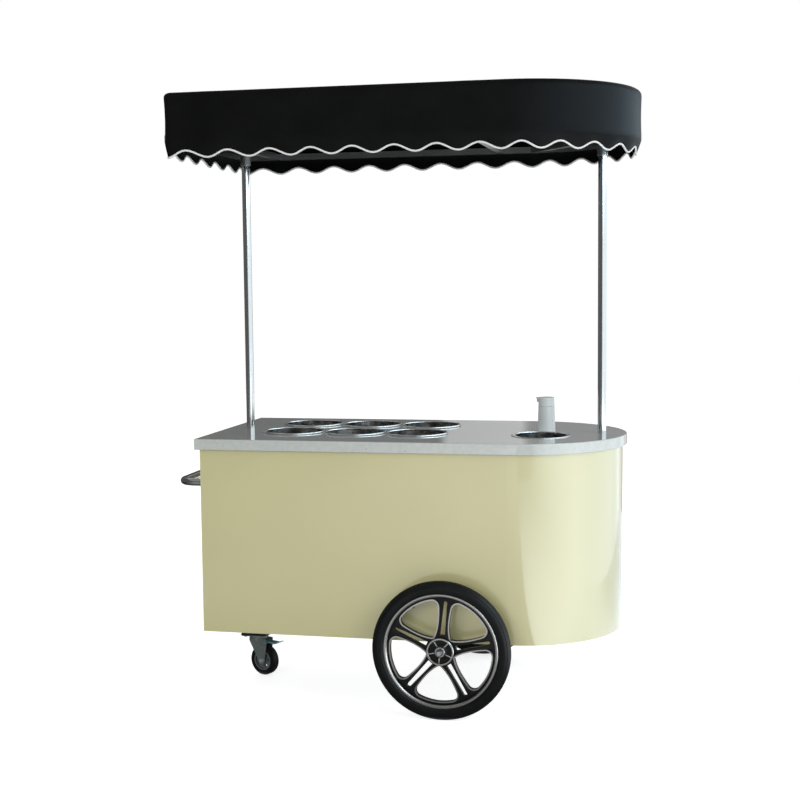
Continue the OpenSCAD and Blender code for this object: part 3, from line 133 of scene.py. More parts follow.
class Finish(Nodes):
    """A material with a Principled shader, its constants set on the shader's own sockets."""

    def __init__(self, name, **constants):
        self.material = bpy.data.materials.new(name)
        self.material.use_nodes = True
        super().__init__(self.material.node_tree)
        self.shader = self.tree.nodes["Principled BSDF"]
        self.place = self.tree.nodes.new("ShaderNodeTexCoord").outputs["Object"]
        for name, value in constants.items():
            socket = name.replace("_", " ").title().replace("Ior", "IOR")
            self.shader.inputs[socket].default_value = value

    def spot(self, scale=(1, 1, 1), offset=(0, 0, 0)):
        """Object coordinates, shifted and then stretched."""
        shifted = self.add("ShaderNodeVectorMath", {"operation": "ADD"},
                           {0: Signal(self, self.place), 1: offset})
        return self.add("ShaderNodeVectorMath", {"operation": "MULTIPLY"}, {0: shifted, 1: scale})

    def axes(self, offset=(0, 0, 0)):
        """X, Y and Z of the surface as three numbers."""
        vector = self.spot(offset=offset)
        return [self.add("ShaderNodeSeparateXYZ", {}, {0: vector}, axis) for axis in range(3)]

    def mottle(self, scale, detail=3.0, stretch=(1, 1, 1)):
        """Soft noise from 0 to 1; scale counts its features in a metre."""
        inputs = {"Vector": self.spot(stretch), "Scale": scale, "Detail": detail, "Roughness": 0.55}
        return self.add("ShaderNodeTexNoise", {}, inputs)

    def cells(self, scale, output="Distance"):
        """Small cells: the distance from a cell's middle, or the cell's own colour."""
        return self.add("ShaderNodeTexVoronoi", {}, {"Vector": self.spot(), "Scale": scale}, output)

    def ramp(self, factor, stops):
        return self.add("ShaderNodeValToRGB", {"stops": stops}, {0: factor})

    def even(self, factor, low, high):
        """A ramp between two colours over the middle of the factor's range."""
        return self.ramp(factor, [(0.3, low), (0.7, high)])

    def mix(self, factor, first, second):
        colours = [c if isinstance(c, Signal) else (*c, 1) for c in (first, second)]
        inputs = {0: factor, 6: colours[0], 7: colours[1]}
        return self.add("ShaderNodeMix", {"data_type": "RGBA"}, inputs, 2)

    def colour(self, value):
        self.feed(self.shader.inputs["Base Color"], value)
        return self

    def rough(self, value):
        self.feed(self.shader.inputs["Roughness"], value)
        return self

    def bump(self, height, depth):
        """Relief of the given depth in metres."""
        normal = self.add("ShaderNodeBump", {}, {"Strength": 1.0, "Distance": depth, "Height": height})
        self.feed(self.shader.inputs["Normal"], normal)
        return self


def shade(colour, factor):
    return tuple(c * factor for c in colour)


# Finishes

CREAM = (0.622, 0.592, 0.318)
STONE = (0.552, 0.588, 0.566)
STEEL = (0.600, 0.610, 0.610)
BLACK = (0.006, 0.006, 0.0065)
RUBBER = (0.0040, 0.0042, 0.0045)
WHITE = (0.670, 0.715, 0.720)
# Dark and light of the painted shade and painted reflections inside the bowls
BOWL_PAINTED_SHADE = (0.14, 0.133, 0.118)
BOWL_PAINTED_REFLECTION = (0.56, 0.53, 0.48)


def cream_paint():
    finish = Finish("cream_paint", coat_weight=1.0, coat_roughness=0.03, specular_ior_level=0.5)
    drift = finish.mottle(1.6, 2)
    finish.colour(finish.even(drift, shade(CREAM, 0.97), shade(CREAM, 1.03)))
    finish.rough(0.16 + finish.mottle(9) * 0.10)
    return finish.bump(finish.mottle(140, 1), 0.00004).material


def stone_top():
    finish = Finish("stone_top", specular_ior_level=0.6, coat_weight=0.5, coat_roughness=0.03)
    grain = finish.ramp(finish.mottle(55, 4), [(0.35, shade(STONE, 0.95)), (0.65, shade(STONE, 1.04))])
    tone = finish.add("ShaderNodeSeparateColor", {}, {0: finish.cells(62, "Color")})
    speck = (finish.cells(62) < 0.11) * (tone > 0.88)
    fine = (finish.cells(210) < 0.20) * 0.35
    flecked = finish.mix(fine, grain, shade(STONE, 0.86))
    finish.colour(finish.mix(speck, flecked, shade(STONE, 0.38)))
    return finish.rough(0.02 + finish.mottle(30) * 0.05).material


def polished(name, stretch, rough=0.10, tint=STEEL):
    """Polished stainless steel with fine drawing lines along the directions of small stretch."""
    finish = Finish(name, metallic=1.0)
    lines = finish.mottle(500, 2, stretch)
    finish.colour(finish.even(finish.mottle(4), shade(tint, 0.94), shade(tint, 1.05)))
    finish.rough(rough + lines * 0.05)
    return finish.bump(lines, 0.000002).material


def turned_steel(name, node, rough=0.09, rim=0.0):
    """Spun stainless steel: fine rings round the node's upright axis, in a lightened tint that paints
    brighter reflections. A bowl is rougher inside its rim, where a cloud of dark and light paints shade
    and reflections.
    """
    finish = Finish(name, metallic=1.0)
    size = box(node)[1] - box(node)[0]
    x, y, z = finish.axes(-middle(node))
    radius = (x * x + y * y).root()
    rings = (radius * 2600.0 + z * 2600.0).sine() * 0.5 + 0.5
    # A lighter copy of the steel: painted highlight, so the rims show brighter reflections
    colour = finish.even(finish.mottle(6), shade(STEEL, 1.14), shade(STEEL, 1.30))
    dull = rings * 0.04 + finish.mottle(25) * 0.04 + rough
    if rim:
        inside = (z < size.z / 2 - BOWL_LIP) * (radius < size.x / 2 - rim)
        # Inside the bowl the colour is a cloud of dark and light: painted shade and painted reflections
        cloud = finish.ramp(finish.mottle(11, 2), [(0.40, BOWL_PAINTED_SHADE), (0.60, BOWL_PAINTED_REFLECTION)])
        colour = finish.mix(inside, colour, cloud)
        dull = dull + inside * finish.mottle(18, 2) * 0.26
    finish.colour(colour)
    finish.rough(dull)
    return finish.bump(rings, 0.000012).material


def brushed(name, tint, rough=0.32, stretch=(0.03, 1, 1)):
    finish = Finish(name, metallic=1.0)
    lines = finish.mottle(700, 3, stretch)
    finish.colour(finish.mix(lines, shade(tint, 0.82), shade(tint, 1.12)))
    finish.rough(rough + lines * 0.12)
    return finish.bump(lines, 0.00003).material


def enamel(name, tint, rough=0.35, peel=0.00005):
    """Sprayed paint with an orange peel and duller, dusty patches."""
    finish = Finish(name, specular_ior_level=0.5)
    dust = finish.mottle(14, 4)
    finish.colour(finish.ramp(dust, [(0.25, shade(tint, 0.85)), (0.75, shade(tint, 1.2))]))
    finish.rough(rough + dust * 0.15)
    return finish.bump(finish.mottle(260, 2), peel).material


def moulded(name, tint, rough=0.38, grain=0.00003):
    """Moulded plastic with a fine spark texture."""
    finish = Finish(name, specular_ior_level=0.5)
    finish.colour(finish.even(finish.mottle(30, 3), shade(tint, 0.93), shade(tint, 1.06)))
    finish.rough(rough + finish.mottle(60) * 0.12)
    return finish.bump(finish.cells(900), grain).material


def plated(name, tint, rough=0.34):
    """Zinc plate: cloudy, with a crystalline shimmer."""
    finish = Finish(name, metallic=0.75)
    cloud = finish.mottle(38, 4)
    spangle = finish.add("ShaderNodeSeparateColor", {}, {0: finish.cells(160, "Color")})
    finish.colour(finish.mix(cloud, shade(tint, 0.72), shade(tint, 1.25)))
    finish.rough(rough + spangle * 0.10 + cloud * 0.10)
    return finish.bump(cloud, 0.00008).material


def canopy_cloth():
    """Coated black cloth: a fine weave under a soft sheen."""
    finish = Finish("canopy_cloth", specular_ior_level=0.045)
    x, y, z = finish.axes()
    warp = ((x + y) * 3000.0).sine()
    weft = (z * 3000.0 + y * 700.0).sine()
    weave = warp * weft * 0.5 + 0.5
    cloud = finish.mottle(7, 4)
    finish.colour(finish.even(cloud, (0.0042, 0.0043, 0.0044), (0.0062, 0.0063, 0.0064)))
    finish.rough(0.38 + cloud * 0.12)
    return finish.bump(weave * 0.6 + finish.mottle(45, 3) * 2.0, 0.00012).material


def white_piping():
    finish = Finish("white_piping", specular_ior_level=0.4)
    finish.colour(finish.even(finish.mottle(160, 2), (0.80, 0.80, 0.79), (0.90, 0.90, 0.89)))
    finish.rough(0.42 + finish.mottle(90) * 0.1)
    return finish.bump(finish.mottle(700, 2), 0.00005).material


def tyre_rubber(name, centre):
    """Black rubber with dusty patches and faint moulding rings round the axle."""
    finish = Finish(name, specular_ior_level=0.2)
    x, _, z = finish.axes(-centre)
    radius = (x * x + z * z).root()
    rings = (radius * 1900.0).sine() * 0.5 + 0.5
    dust = finish.mottle(26, 4)
    finish.colour(finish.even(dust, shade(RUBBER, 0.8), shade(RUBBER, 1.35)))
    finish.rough(0.36 + dust * 0.16)
    return finish.bump(rings * 0.25 + finish.mottle(420, 2), 0.00006).material


def cast_black():
    finish = Finish("cast_black", specular_ior_level=0.2)
    finish.colour(finish.even(finish.mottle(40, 3), shade(BLACK, 0.8), shade(BLACK, 1.3)))
    finish.rough(0.28 + finish.mottle(75) * 0.14)
    return finish.bump(finish.mottle(350, 2), 0.00005).material


def machined_alloy():
    finish = Finish("machined_alloy", metallic=1.0)
    lines = finish.mottle(1200, 2, (1, 0.1, 1))
    finish.colour(finish.mix(lines, (0.36, 0.355, 0.34), (0.52, 0.51, 0.49)))
    finish.rough(0.20 + lines * 0.12)
    return finish.bump(lines, 0.00002).material


def caster_rubber(centre, across, core_r):
    """Caster wheel: a grey moulded core inside a black tread."""
    finish = Finish("caster_rubber", specular_ior_level=0.25)
    vector = finish.spot(offset=-centre)
    along = finish.add("ShaderNodeVectorMath", {"operation": "DOT_PRODUCT"}, {0: vector, 1: across}, 1)
    total = finish.add("ShaderNodeVectorMath", {"operation": "LENGTH"}, {0: vector}, 1)
    radius = (total * total - along * along).root()
    core = radius < core_r
    dust = finish.mottle(60, 3)
    tread = finish.mix(dust, shade(RUBBER, 0.8), shade(RUBBER, 1.4))
    grey = finish.mix(dust, (0.115, 0.135, 0.132), (0.160, 0.182, 0.178))
    finish.colour(finish.mix(core, tread, grey))
    finish.rough(0.42 + dust * 0.15)
    return finish.bump(finish.mottle(500, 2), 0.00005).material


def glazed_white():
    finish = Finish("glazed_white", specular_ior_level=0.5, coat_weight=0.3, coat_roughness=0.05)
    finish.colour(finish.even(finish.mottle(12, 2), shade(WHITE, 0.96), shade(WHITE, 1.03)))
    finish.rough(0.22 + finish.mottle(40) * 0.08)
    return finish.bump(finish.mottle(120, 1), 0.00003).material


def foam_block():
    finish = Finish("foam_block", specular_ior_level=0.2)
    finish.colour(finish.mix(finish.mottle(90, 4), (0.62, 0.50, 0.26), (0.80, 0.70, 0.44)))
    finish.rough(0.85 + finish.mottle(30) * 0.1)
    return finish.bump(finish.cells(450), 0.0004).material


def fin_stack():
    finish = Finish("fin_stack", metallic=1.0)
    haze = finish.mottle(50, 4)
    finish.colour(finish.mix(haze, (0.42, 0.42, 0.41), (0.62, 0.62, 0.60)))
    finish.rough(0.35 + haze * 0.2)
    return finish.bump(finish.mottle(300, 2), 0.00005).material


ALONG_Z = (1, 1, 0.02)
ALONG_Y = (1, 0.02, 1)
ALONG_X = (0.02, 1, 1)
BOWL_LIP = 7 * MM
TUB_RIM = 9.2 * MM
SINK_RIM = 14.2 * MM
cream = cream_paint()
frame_black = enamel("frame_black", (0.016, 0.016, 0.018))
sheet = brushed("sheet_steel", (0.56, 0.57, 0.58))
copper = brushed("copper_pipe", (0.62, 0.33, 0.20), 0.28)
black_plastic = moulded("black_plastic", (0.018, 0.018, 0.020))
bright = plated("bright_steel", (0.66, 0.66, 0.65), 0.22)
nut_steel = brushed("nut_steel", (0.20, 0.20, 0.20), 0.24, ALONG_Y)
rubber_feet = moulded("rubber_feet", (0.014, 0.014, 0.014), 0.6)
alloy_dark = cast_black()
alloy_bright = machined_alloy()
glaze = glazed_white()
pole_polish = polished("pole_polish", ALONG_Z)
# The frame's steel gets a darker tint: painted shade for the dark canopy and floor it reflects
frame_polish_painted_shade = polished("frame_polish_painted_shade", ALONG_X, 0.26, shade(STEEL, 0.62))
finishes = {
    "counter": stone_top(),
    "body_skin": cream,
    "end_panel": cream,
    "back_panel": cream,
    "service_door": cream,
    "water_door": cream,
    "floor_tray": sheet,
    "door_hinges": bright,
    "freezer_liner": sheet,
    "fan_blades": sheet,
    "sink_drain": turned_steel("drain_steel", "sink_drain", 0.2),
    "body_frame": frame_black,
    "axle_blocks": frame_black,
    "caster_riser": frame_black,
    "axle": brushed("axle_steel", (0.50, 0.50, 0.50), 0.3, ALONG_Y),
    "insulation": foam_block(),
    "evaporator": copper,
    "refrigerant_lines": copper,
    "sink_bowl": turned_steel("sink_steel", "sink_bowl", rim=SINK_RIM),
    "canopy_poles": pole_polish,
    "pole_sockets": pole_polish,
    "canopy_lower_frame": frame_polish_painted_shade,
    "canopy_upper_frame": frame_polish_painted_shade,
    "canopy_posts": frame_polish_painted_shade,
    # The handle's steel gets a darker tint: painted shade that dims its reflections
    "push_handle": polished("handle_polish_painted_shade", ALONG_Y, tint=shade(STEEL, 0.75)),
    "compressor": enamel("compressor_black", (0.012, 0.012, 0.013), 0.3),
    "condenser": fin_stack(),
    "fan_motor": black_plastic,
    "control_panel": black_plastic,
    "mains_inlet": black_plastic,
    "tank_caps": black_plastic,
    "water_pump": black_plastic,
    "compressor_feet": rubber_feet,
    "thermostat_knob": moulded("knob_white", (0.70, 0.71, 0.70), 0.3),
    "fresh_tank": moulded("tank_white", (0.72, 0.75, 0.75), 0.4, 0.00008),
    "supply_hose": moulded("hose_white", (0.66, 0.69, 0.69), 0.35),
    "power_switch": moulded("rocker_red", (0.42, 0.016, 0.012), 0.25),
    "waste_tank": moulded("tank_grey", (0.16, 0.19, 0.22), 0.42, 0.00008),
    "tap_column": glaze,
    "tap_head": glaze,
    "fixing_bolts": bright,
    "axle_nuts": nut_steel,
    "front_bearings": black_plastic,
    "back_bearings": black_plastic,
    "caster_axle": bright,
    "caster_plate": plated("plate_zinc", (0.34, 0.39, 0.37)),
    "caster_fork": plated("fork_zinc", (0.30, 0.355, 0.335)),
    "brake_pedal": plated("pedal_blue", (0.34, 0.66, 0.76), 0.28),
}
for row in ("front", "back"):
    for side in ("left", "middle", "right"):
        node = f"tub_{row}_{side}"
        finishes[node] = turned_steel(f"{node}_steel", node, rim=TUB_RIM)


def cover(node, material):
    """Gives a node of the construction its finish."""
    cart_nodes[node].data.materials.clear()
    cart_nodes[node].data.materials.append(material)


for node, material in finishes.items():
    cover(node, material)


# Making pieces

MERGE = 0.01 * MM


def linked(name, data):
    """An object of the scene that shows the data."""
    obj = bpy.data.objects.new(name, data)
    bpy.context.scene.collection.objects.link(obj)
    return obj


def shown(name, bm, materials):
    """An object made of bm, which is used up."""
    mesh = bpy.data.meshes.new(name)
    bm.to_mesh(mesh)
    bm.free()
    for material in materials:
        mesh.materials.append(material)
    return linked(name, mesh)


def piece(name, mesh_maker, body, materials, replaced=None, sharp=40):
    """A finished piece: its normals turned out, smooth up to the sharp angle, riding on its body."""
    bm = bmesh.new()
    mesh_maker(bm)
    bmesh.ops.remove_doubles(bm, verts=bm.verts, dist=MERGE)
    bmesh.ops.recalc_face_normals(bm, faces=bm.faces)
    return keep(name, bm, body, materials, replaced, sharp)


def keep(name, bm, body, materials, replaced=None, sharp=40):
    """Makes bm an object that rides on its body and the node that it replaces."""
    for face in bm.faces:
        face.smooth = True
    for edge in bm.edges:
        edge.smooth = edge.is_boundary or edge.calc_face_angle(0) < math.radians(sharp)
    obj = shown(name, bm, materials)
    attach(obj, body)
    if replaced:
        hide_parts(replaced)
    return obj


def chain(bm, points, closed=False):
    """Vertices joined by edges in order."""
    verts = [bm.verts.new(p) for p in points]
    pairs = zip(verts, verts[1:] + verts[:1] if closed else verts[1:])
    return verts, [bm.edges.new(pair) for pair in pairs]


def turn(bm, points, steps):
    """A profile of (radius, height) points turned once round Z."""
    verts, edges = chain(bm, [(r, 0, z) for r, z in points])
    bmesh.ops.spin(bm, geom=verts + edges, cent=(0, 0, 0), axis=(0, 0, 1), angle=math.tau,
                   steps=steps, use_merge=True)


def turn_ring(bm, points, steps):
    """A turned profile, closed from its last point to its first."""
    turn(bm, points, steps)
    bmesh.ops.bridge_loops(bm, edges=[e for e in bm.edges if e.is_boundary])


def in_mm(points):
    """Profile points given in millimetres, in metres."""
    return [(r * MM, z * MM) for r, z in points]


def add_line(curve, points, closed):
    """Adds a run of straight pieces through points to a curve."""
    line = curve.splines.new("POLY")
    line.points.add(len(points) - 1)
    for knot, point in zip(line.points, points):
        knot.co = (*point.to_3d(), 1)
    line.use_cyclic_u = closed


def add_curve(bm, curve):
    """Puts a curve's surface into bm."""
    wire = linked(curve.name, curve)
    solid = wire.evaluated_get(bpy.context.evaluated_depsgraph_get())
    mesh = bpy.data.meshes.new_from_object(solid)
    bpy.data.objects.remove(wire)
    bm.from_mesh(mesh)
    bpy.data.meshes.remove(mesh)


# Canopy: one cloth over the frame, with a scalloped hem

cover_low, cover_high = box("canopy_cover")
HALF_W = cover_high.y
ROUND_X = cover_high.x - HALF_W
END_X = cover_low.x
TOP_Z = cover_high.z
CREASE_DROP = 25 * MM
CREASE_Z = box("canopy_lower_frame")[1].z - CREASE_DROP
HEM_WAVE = 12.5 * MM
HEM_Z = cover_low.z + HEM_WAVE
HEM_IN = 18 * MM
CORNER_HEM_IN = 6 * MM
CORNER_REACH = 0.45
HEM_CURVE = 1.15
HEM_RIPPLE = 2.6 * MM
HEM_SLACK = 3 * MM
SKIRT_GIVE = 2.2 * MM
SKIRT_SLACK = 2.4 * MM
SAG = 9 * MM
SAG_REACH = 0.25
TOP_SLACK = 3 * MM
TOP_EDGE = 0.12
POLE_R = 16 * MM
RIGHT_BAR = 1.04
BAR_XS = (box("canopy_poles")[0].x + POLE_R, box("counter")[0].x + RIGHT_BAR)
CORNER_R = 12 * MM
HALF_CORNER = math.radians(45)
TOP_R = 20 * MM
CLOTH_T = 1.6 * MM
SCALLOPS = (("front", 8), ("round", 10), ("back", 8), ("end", 6))
STEPS = 12
STATIONS = [(run, i / (n * STEPS), i / STEPS) for run, n in SCALLOPS for i in range(n * STEPS)]
TOP_INSETS = [TOP_R, *(MM * inset for inset in (34, 60, 100, 160, 230, 310, 390)), HALF_W - CORNER_R]
SKIRT_ROWS = [i / 9 for i in range(1, 10)] + [1 + i / 6 for i in range(1, 7)]


def outline(run, share, inset):
    """A point of the canopy's plan drawn in by inset, at a share of one of its runs."""
    r = HALF_W - inset
    x0 = END_X + inset
    if run == "round":
        angle = math.pi * (share - 0.5)
        return Vector((ROUND_X + r * math.cos(angle), r * math.sin(angle), 0))
    if run == "end":
        y = r * (1 - 2 * share)
        bend = HALF_CORNER * max(0.0, 1 - (r - abs(y)) / CORNER_R)
        if bend:
            y = math.copysign(r - CORNER_R + CORNER_R * math.sin(bend), y)
        return Vector((x0 + CORNER_R * (1 - math.cos(bend)), y, 0))
    along = (ROUND_X - x0) * (share if run == "front" else 1 - share)
    bend = HALF_CORNER * max(0.0, 1 - along / CORNER_R)
    if bend:
        along = CORNER_R * (1 - math.sin(bend))
    y = r - CORNER_R * (1 - math.cos(bend))
    return Vector((x0 + along, -y if run == "front" else y, 0))


def hem_inset(run, share):
    """How far the hem hangs inside the frame: less near the two square corners."""
    if run == "round":
        return HEM_IN
    from_end = {"front": share, "back": 1 - share, "end": 0}[run] * (ROUND_X - END_X)
    t = min(from_end / CORNER_REACH, 1.0)
    return CORNER_HEM_IN + (HEM_IN - CORNER_HEM_IN) * t * t * (3 - 2 * t)


def slack(point, amount):
    """A small seeded unevenness of the cloth."""
    return amount * noise.noise(Vector((point.x * 5.0, point.y * 5.0, point.z * 1.6)))


def skirt_point(station, down):
    """The hanging cloth: down runs from 0 at the top edge over 1 at the frame's bar to 2 at the hem."""
    run, share, wave = station
    if down <= 1:
        point = outline(run, share, 0) + UP * (TOP_Z - TOP_R + (CREASE_Z - TOP_Z + TOP_R) * down)
        give = math.sin(math.pi * down) * SKIRT_GIVE
        return outline(run, share, max(0.0, give + slack(point, SKIRT_SLACK))) + UP * point.z
    fall = down - 1
    hem = HEM_Z - HEM_WAVE * math.cos(math.tau * wave)
    z = CREASE_Z + (hem - CREASE_Z) * fall
    ripple = HEM_RIPPLE * fall * math.cos(math.tau * wave)
    inset = hem_inset(run, share) * fall ** HEM_CURVE
    point = outline(run, share, inset) + UP * z
    return outline(run, share, inset + ripple + slack(point, HEM_SLACK * fall)) + UP * z


def top_point(station, inset):
    """The flat top, sagging a little between the frame's bars."""
    run, share, _ = station
    point = outline(run, share, inset)
    edge = min(inset / TOP_EDGE, 1.0)
    room = min(abs(point.x - x) for x in BAR_XS)
    sag = SAG * edge * min(room / SAG_REACH, 1.0)
    return point + UP * (TOP_Z - sag + slack(point, TOP_SLACK * edge))


def canopy_mesh(bm):
    """Rows of cloth from the top edge down to the hem and inwards over the top."""
    mark = bm.verts.layers.int.new("station")
    first, edges = chain(bm, [skirt_point(s, 0) for s in STATIONS], True)
    for i, vert in enumerate(first):
        vert[mark] = i

    def next_row(edges, place):
        made = bmesh.ops.extrude_edge_only(bm, edges=edges)["geom"]
        for vert in (v for v in made if isinstance(v, bmesh.types.BMVert)):
            vert.co = place(STATIONS[vert[mark]])
        return [e for e in made if isinstance(e, bmesh.types.BMEdge)]

    row = edges
    for down in SKIRT_ROWS:
        row = next_row(row, lambda s: skirt_point(s, down))
    row = edges
    for bend in (0.4, 0.8, 1.2):
        row = next_row(row, lambda s: outline(s[0], s[1], TOP_R * (1 - math.cos(bend)))
                       + UP * (TOP_Z - TOP_R * (1 - math.sin(bend))))
    for inset in TOP_INSETS:
        row = next_row(row, lambda s: top_point(s, inset))
    bmesh.ops.contextual_create(bm, geom=row)


cloth = canopy_cloth()
canopy = piece("canopy_cloth", canopy_mesh, "cart", [cloth], "canopy_cover", sharp=60)
thick = canopy.modifiers.new("cloth", "SOLIDIFY")
thick.thickness = CLOTH_T
thick.offset = -1


def swept(name, points, radius, body, material, closed=False, sides=3):
    """A round strip along points, made a mesh."""
    curve = bpy.data.curves.new(name + "_line", "CURVE")
    curve.dimensions = "3D"
    curve.bevel_depth = radius
    curve.bevel_resolution = sides
    curve.use_fill_caps = not closed
    add_line(curve, points, closed)
    bm = bmesh.new()
    add_curve(bm, curve)
    bmesh.ops.recalc_face_normals(bm, faces=bm.faces)
    return keep(name, bm, body, [material], sharp=80)


PIPING_R = 3.6 * MM
hem_line = [skirt_point(s, 2) for s in STATIONS]
piping = swept("hem_piping", hem_line, PIPING_R, "cart", white_piping(), closed=True)


# Wheels

wheel_centre = middle("front_tyre")
RIM_R = box("front_rim")[1].z - wheel_centre.z
RIM_W = 40 * MM
SPOKES = 5
SPOKE_TURN = math.radians(12)
STEP = math.tau / SPOKES
SPOKE_T = 18 * MM
HUB_R = 50 * MM
HUB_W = 50 * MM
HUB_BORE_R = 17 * MM
WINDOW_R = 186 * MM
EDGE = 4.8 * MM
EDGE_RISE = 0.5 * MM
ROUND_STEPS = 144
# Half the tyre's section from the crown's middle to the bead, as (radius, width) in millimetres
TYRE_HALF = (
    (254, 0), (254, 2.2), (252.4, 3.0), (252.4, 4.6), (253.8, 5.4), (253.2, 9.6), (251.4, 10.4),
    (251.2, 12.2), (252.2, 13.0), (249.6, 17.2), (246.5, 20.0), (243.2, 21.9), (242.0, 21.6),
    (240.6, 23.0), (235.0, 24.7), (229.0, 25.0), (222.5, 24.4), (217.5, 22.8), (216.6, 22.9),
    (215.4, 21.6), (211.5, 19.4), (209.2, 18.2), (206.5, 16.0), (201.0, 15.6))
# The rim's lip as (in from the rim's edge, down from its face) in millimetres
RIM_LIP = ((12.5, 11), (12.5, 6), (11, 2.5), (8.5, 0.6), (5, 0), (2, 0), (0.4, 0.8), (0, 2), (1.2, 3.4),
           (10, 3.6))
BRIGHT_LIP = 4.4 * MM
RIB_SIZE = (22.4 * MM, 5.2 * MM, 8 * MM)
RIB_R = 32.6 * MM
RIB_DROP = 4.6 * MM
VALVE_TURN = math.radians(123)
VALVE_IN = 16 * MM


def wheel_middle(side):
    return Vector((wheel_centre.x, side * abs(wheel_centre.y), wheel_centre.z))


def wheel_place(side):
    """From a wheel made round Z to its place, its outer face away from the cart."""
    about = Matrix.Rotation(math.pi if side > 0 else 0.0, 4, "Z")
    return Matrix.Translation(wheel_middle(side)) @ about @ Matrix.Rotation(math.pi / 2, 4, "X")


def polar(angle, radius):
    return Vector((radius * math.cos(angle), radius * math.sin(angle)))


def tyre_mesh(side):
    def make(bm):
        half = in_mm(TYRE_HALF)
        turn_ring(bm, [(r, -z) for r, z in half[:0:-1]] + half, ROUND_STEPS)
        bm.transform(wheel_place(side))
    return make


def rim_ring_mesh(side):
    """Channel rim with a bright rolled lip on each side."""
    lip = [(RIM_R - inwards * MM, RIM_W / 2 - down * MM) for inwards, down in RIM_LIP]

    def make(bm):
        turn_ring(bm, lip + [(r, -z) for r, z in lip[::-1]], ROUND_STEPS)
        for face in bm.faces:
            height = abs(face.calc_center_median().z)
            face.material_index = int(height > RIM_W / 2 - BRIGHT_LIP)
        bm.transform(wheel_place(side))
    return make


def window_outline():
    """One window round +X: a rounded apex at the hub, bulging sides, round corners, an arc at the rim."""
    corner_r = 22 * MM
    corner_turn = math.radians(19.2)
    leave = math.radians(118)
    corner = polar(corner_turn, WINDOW_R - corner_r)
    apex = Vector((HUB_R + 8 * MM, 5 * MM))
    pull = Vector((HUB_R + 32.4 * MM, 39.8 * MM))
    end = corner + polar(leave, corner_r)
    half = [Vector((HUB_R + 5 * MM, 0))]
    for t in (i / 10 for i in range(11)):
        half.append(apex * (1 - t) ** 2 + pull * (2 * t * (1 - t)) + end * t * t)
    for i in range(1, 9):
        half.append(corner + polar(leave + (corner_turn - leave) * i / 8, corner_r))
    for i in range(1, 6):
        half.append(polar(corner_turn * (1 - i / 5), WINDOW_R))
    return half + [Vector((p.x, -p.y)) for p in half[-2:0:-1]]


def grown(points, amount):
    """A closed outline moved outwards, whichever way its points run."""
    area = sum(a.x * b.y - b.x * a.y for a, b in zip(points, points[1:] + points[:1]))
    out = []
    for before, here, after in zip(points[-1:] + points[:-1], points, points[1:] + points[:1]):
        way = (after - before).normalized()
        out.append(here + Vector((way.y, -way.x)) * math.copysign(amount, area))
    return out


def turned(points, angle):
    spin = Matrix.Rotation(angle, 2)
    return [spin @ p for p in points]


def circle(radius, steps):
    return [polar(math.tau * i / steps, radius) for i in range(steps)]


def plate(bm, outlines, thickness, edge):
    """A flat plate with holes and softened edges, from a filled curve."""
    curve = bpy.data.curves.new("plate", "CURVE")
    curve.dimensions = "2D"
    curve.fill_mode = "BOTH"
    curve.extrude = thickness / 2 - edge
    curve.bevel_depth = edge
    curve.bevel_resolution = 1
    curve.offset = -edge
    for points in outlines:
        add_line(curve, points, True)
    add_curve(bm, curve)


def spoke_mesh(side):
    """The cast spokes: a plate with five windows and five slots."""
    near, far = HUB_R + 7 * MM, WINDOW_R - 5 * MM
    half_near, half_far = 9.5 * MM, 6.5 * MM
    slot = [Vector(p) for p in ((near, -half_near), (far, -half_far), (WINDOW_R - 2 * MM, 0),
                                (far, half_far), (near, half_near))]
    window = grown(window_outline(), EDGE)

    def make(bm):
        holes = []
        for i in range(SPOKES):
            holes.append(turned(window, SPOKE_TURN + (i + 0.5) * STEP))
            holes.append(turned(slot, SPOKE_TURN + i * STEP))
        plate(bm, [circle(RIM_R - 12 * MM, 120), *holes], SPOKE_T, 0.8 * MM)
        bm.transform(wheel_place(side))
    return make


def window_edge_mesh(side):
    """Bright machined edges round the five windows, on both faces."""
    inner = window_outline()
    outer = grown(inner, EDGE)
    high = SPOKE_T / 2 + EDGE_RISE
    section = [(outer, high), (inner, high), (inner, -high), (outer, -high)]

    def make(bm):
        for i in range(SPOKES):
            angle = SPOKE_TURN + (i + 0.5) * STEP
            rings = [chain(bm, [(*p, z) for p in turned(points, angle)], True)[1]
                     for points, z in section]
            for first, second in zip(rings, rings[1:] + rings[:1]):
                for face in bmesh.ops.bridge_loops(bm, edges=first + second)["faces"]:
                    face.material_index = int(first is rings[1])
        bm.transform(wheel_place(side))
    return make


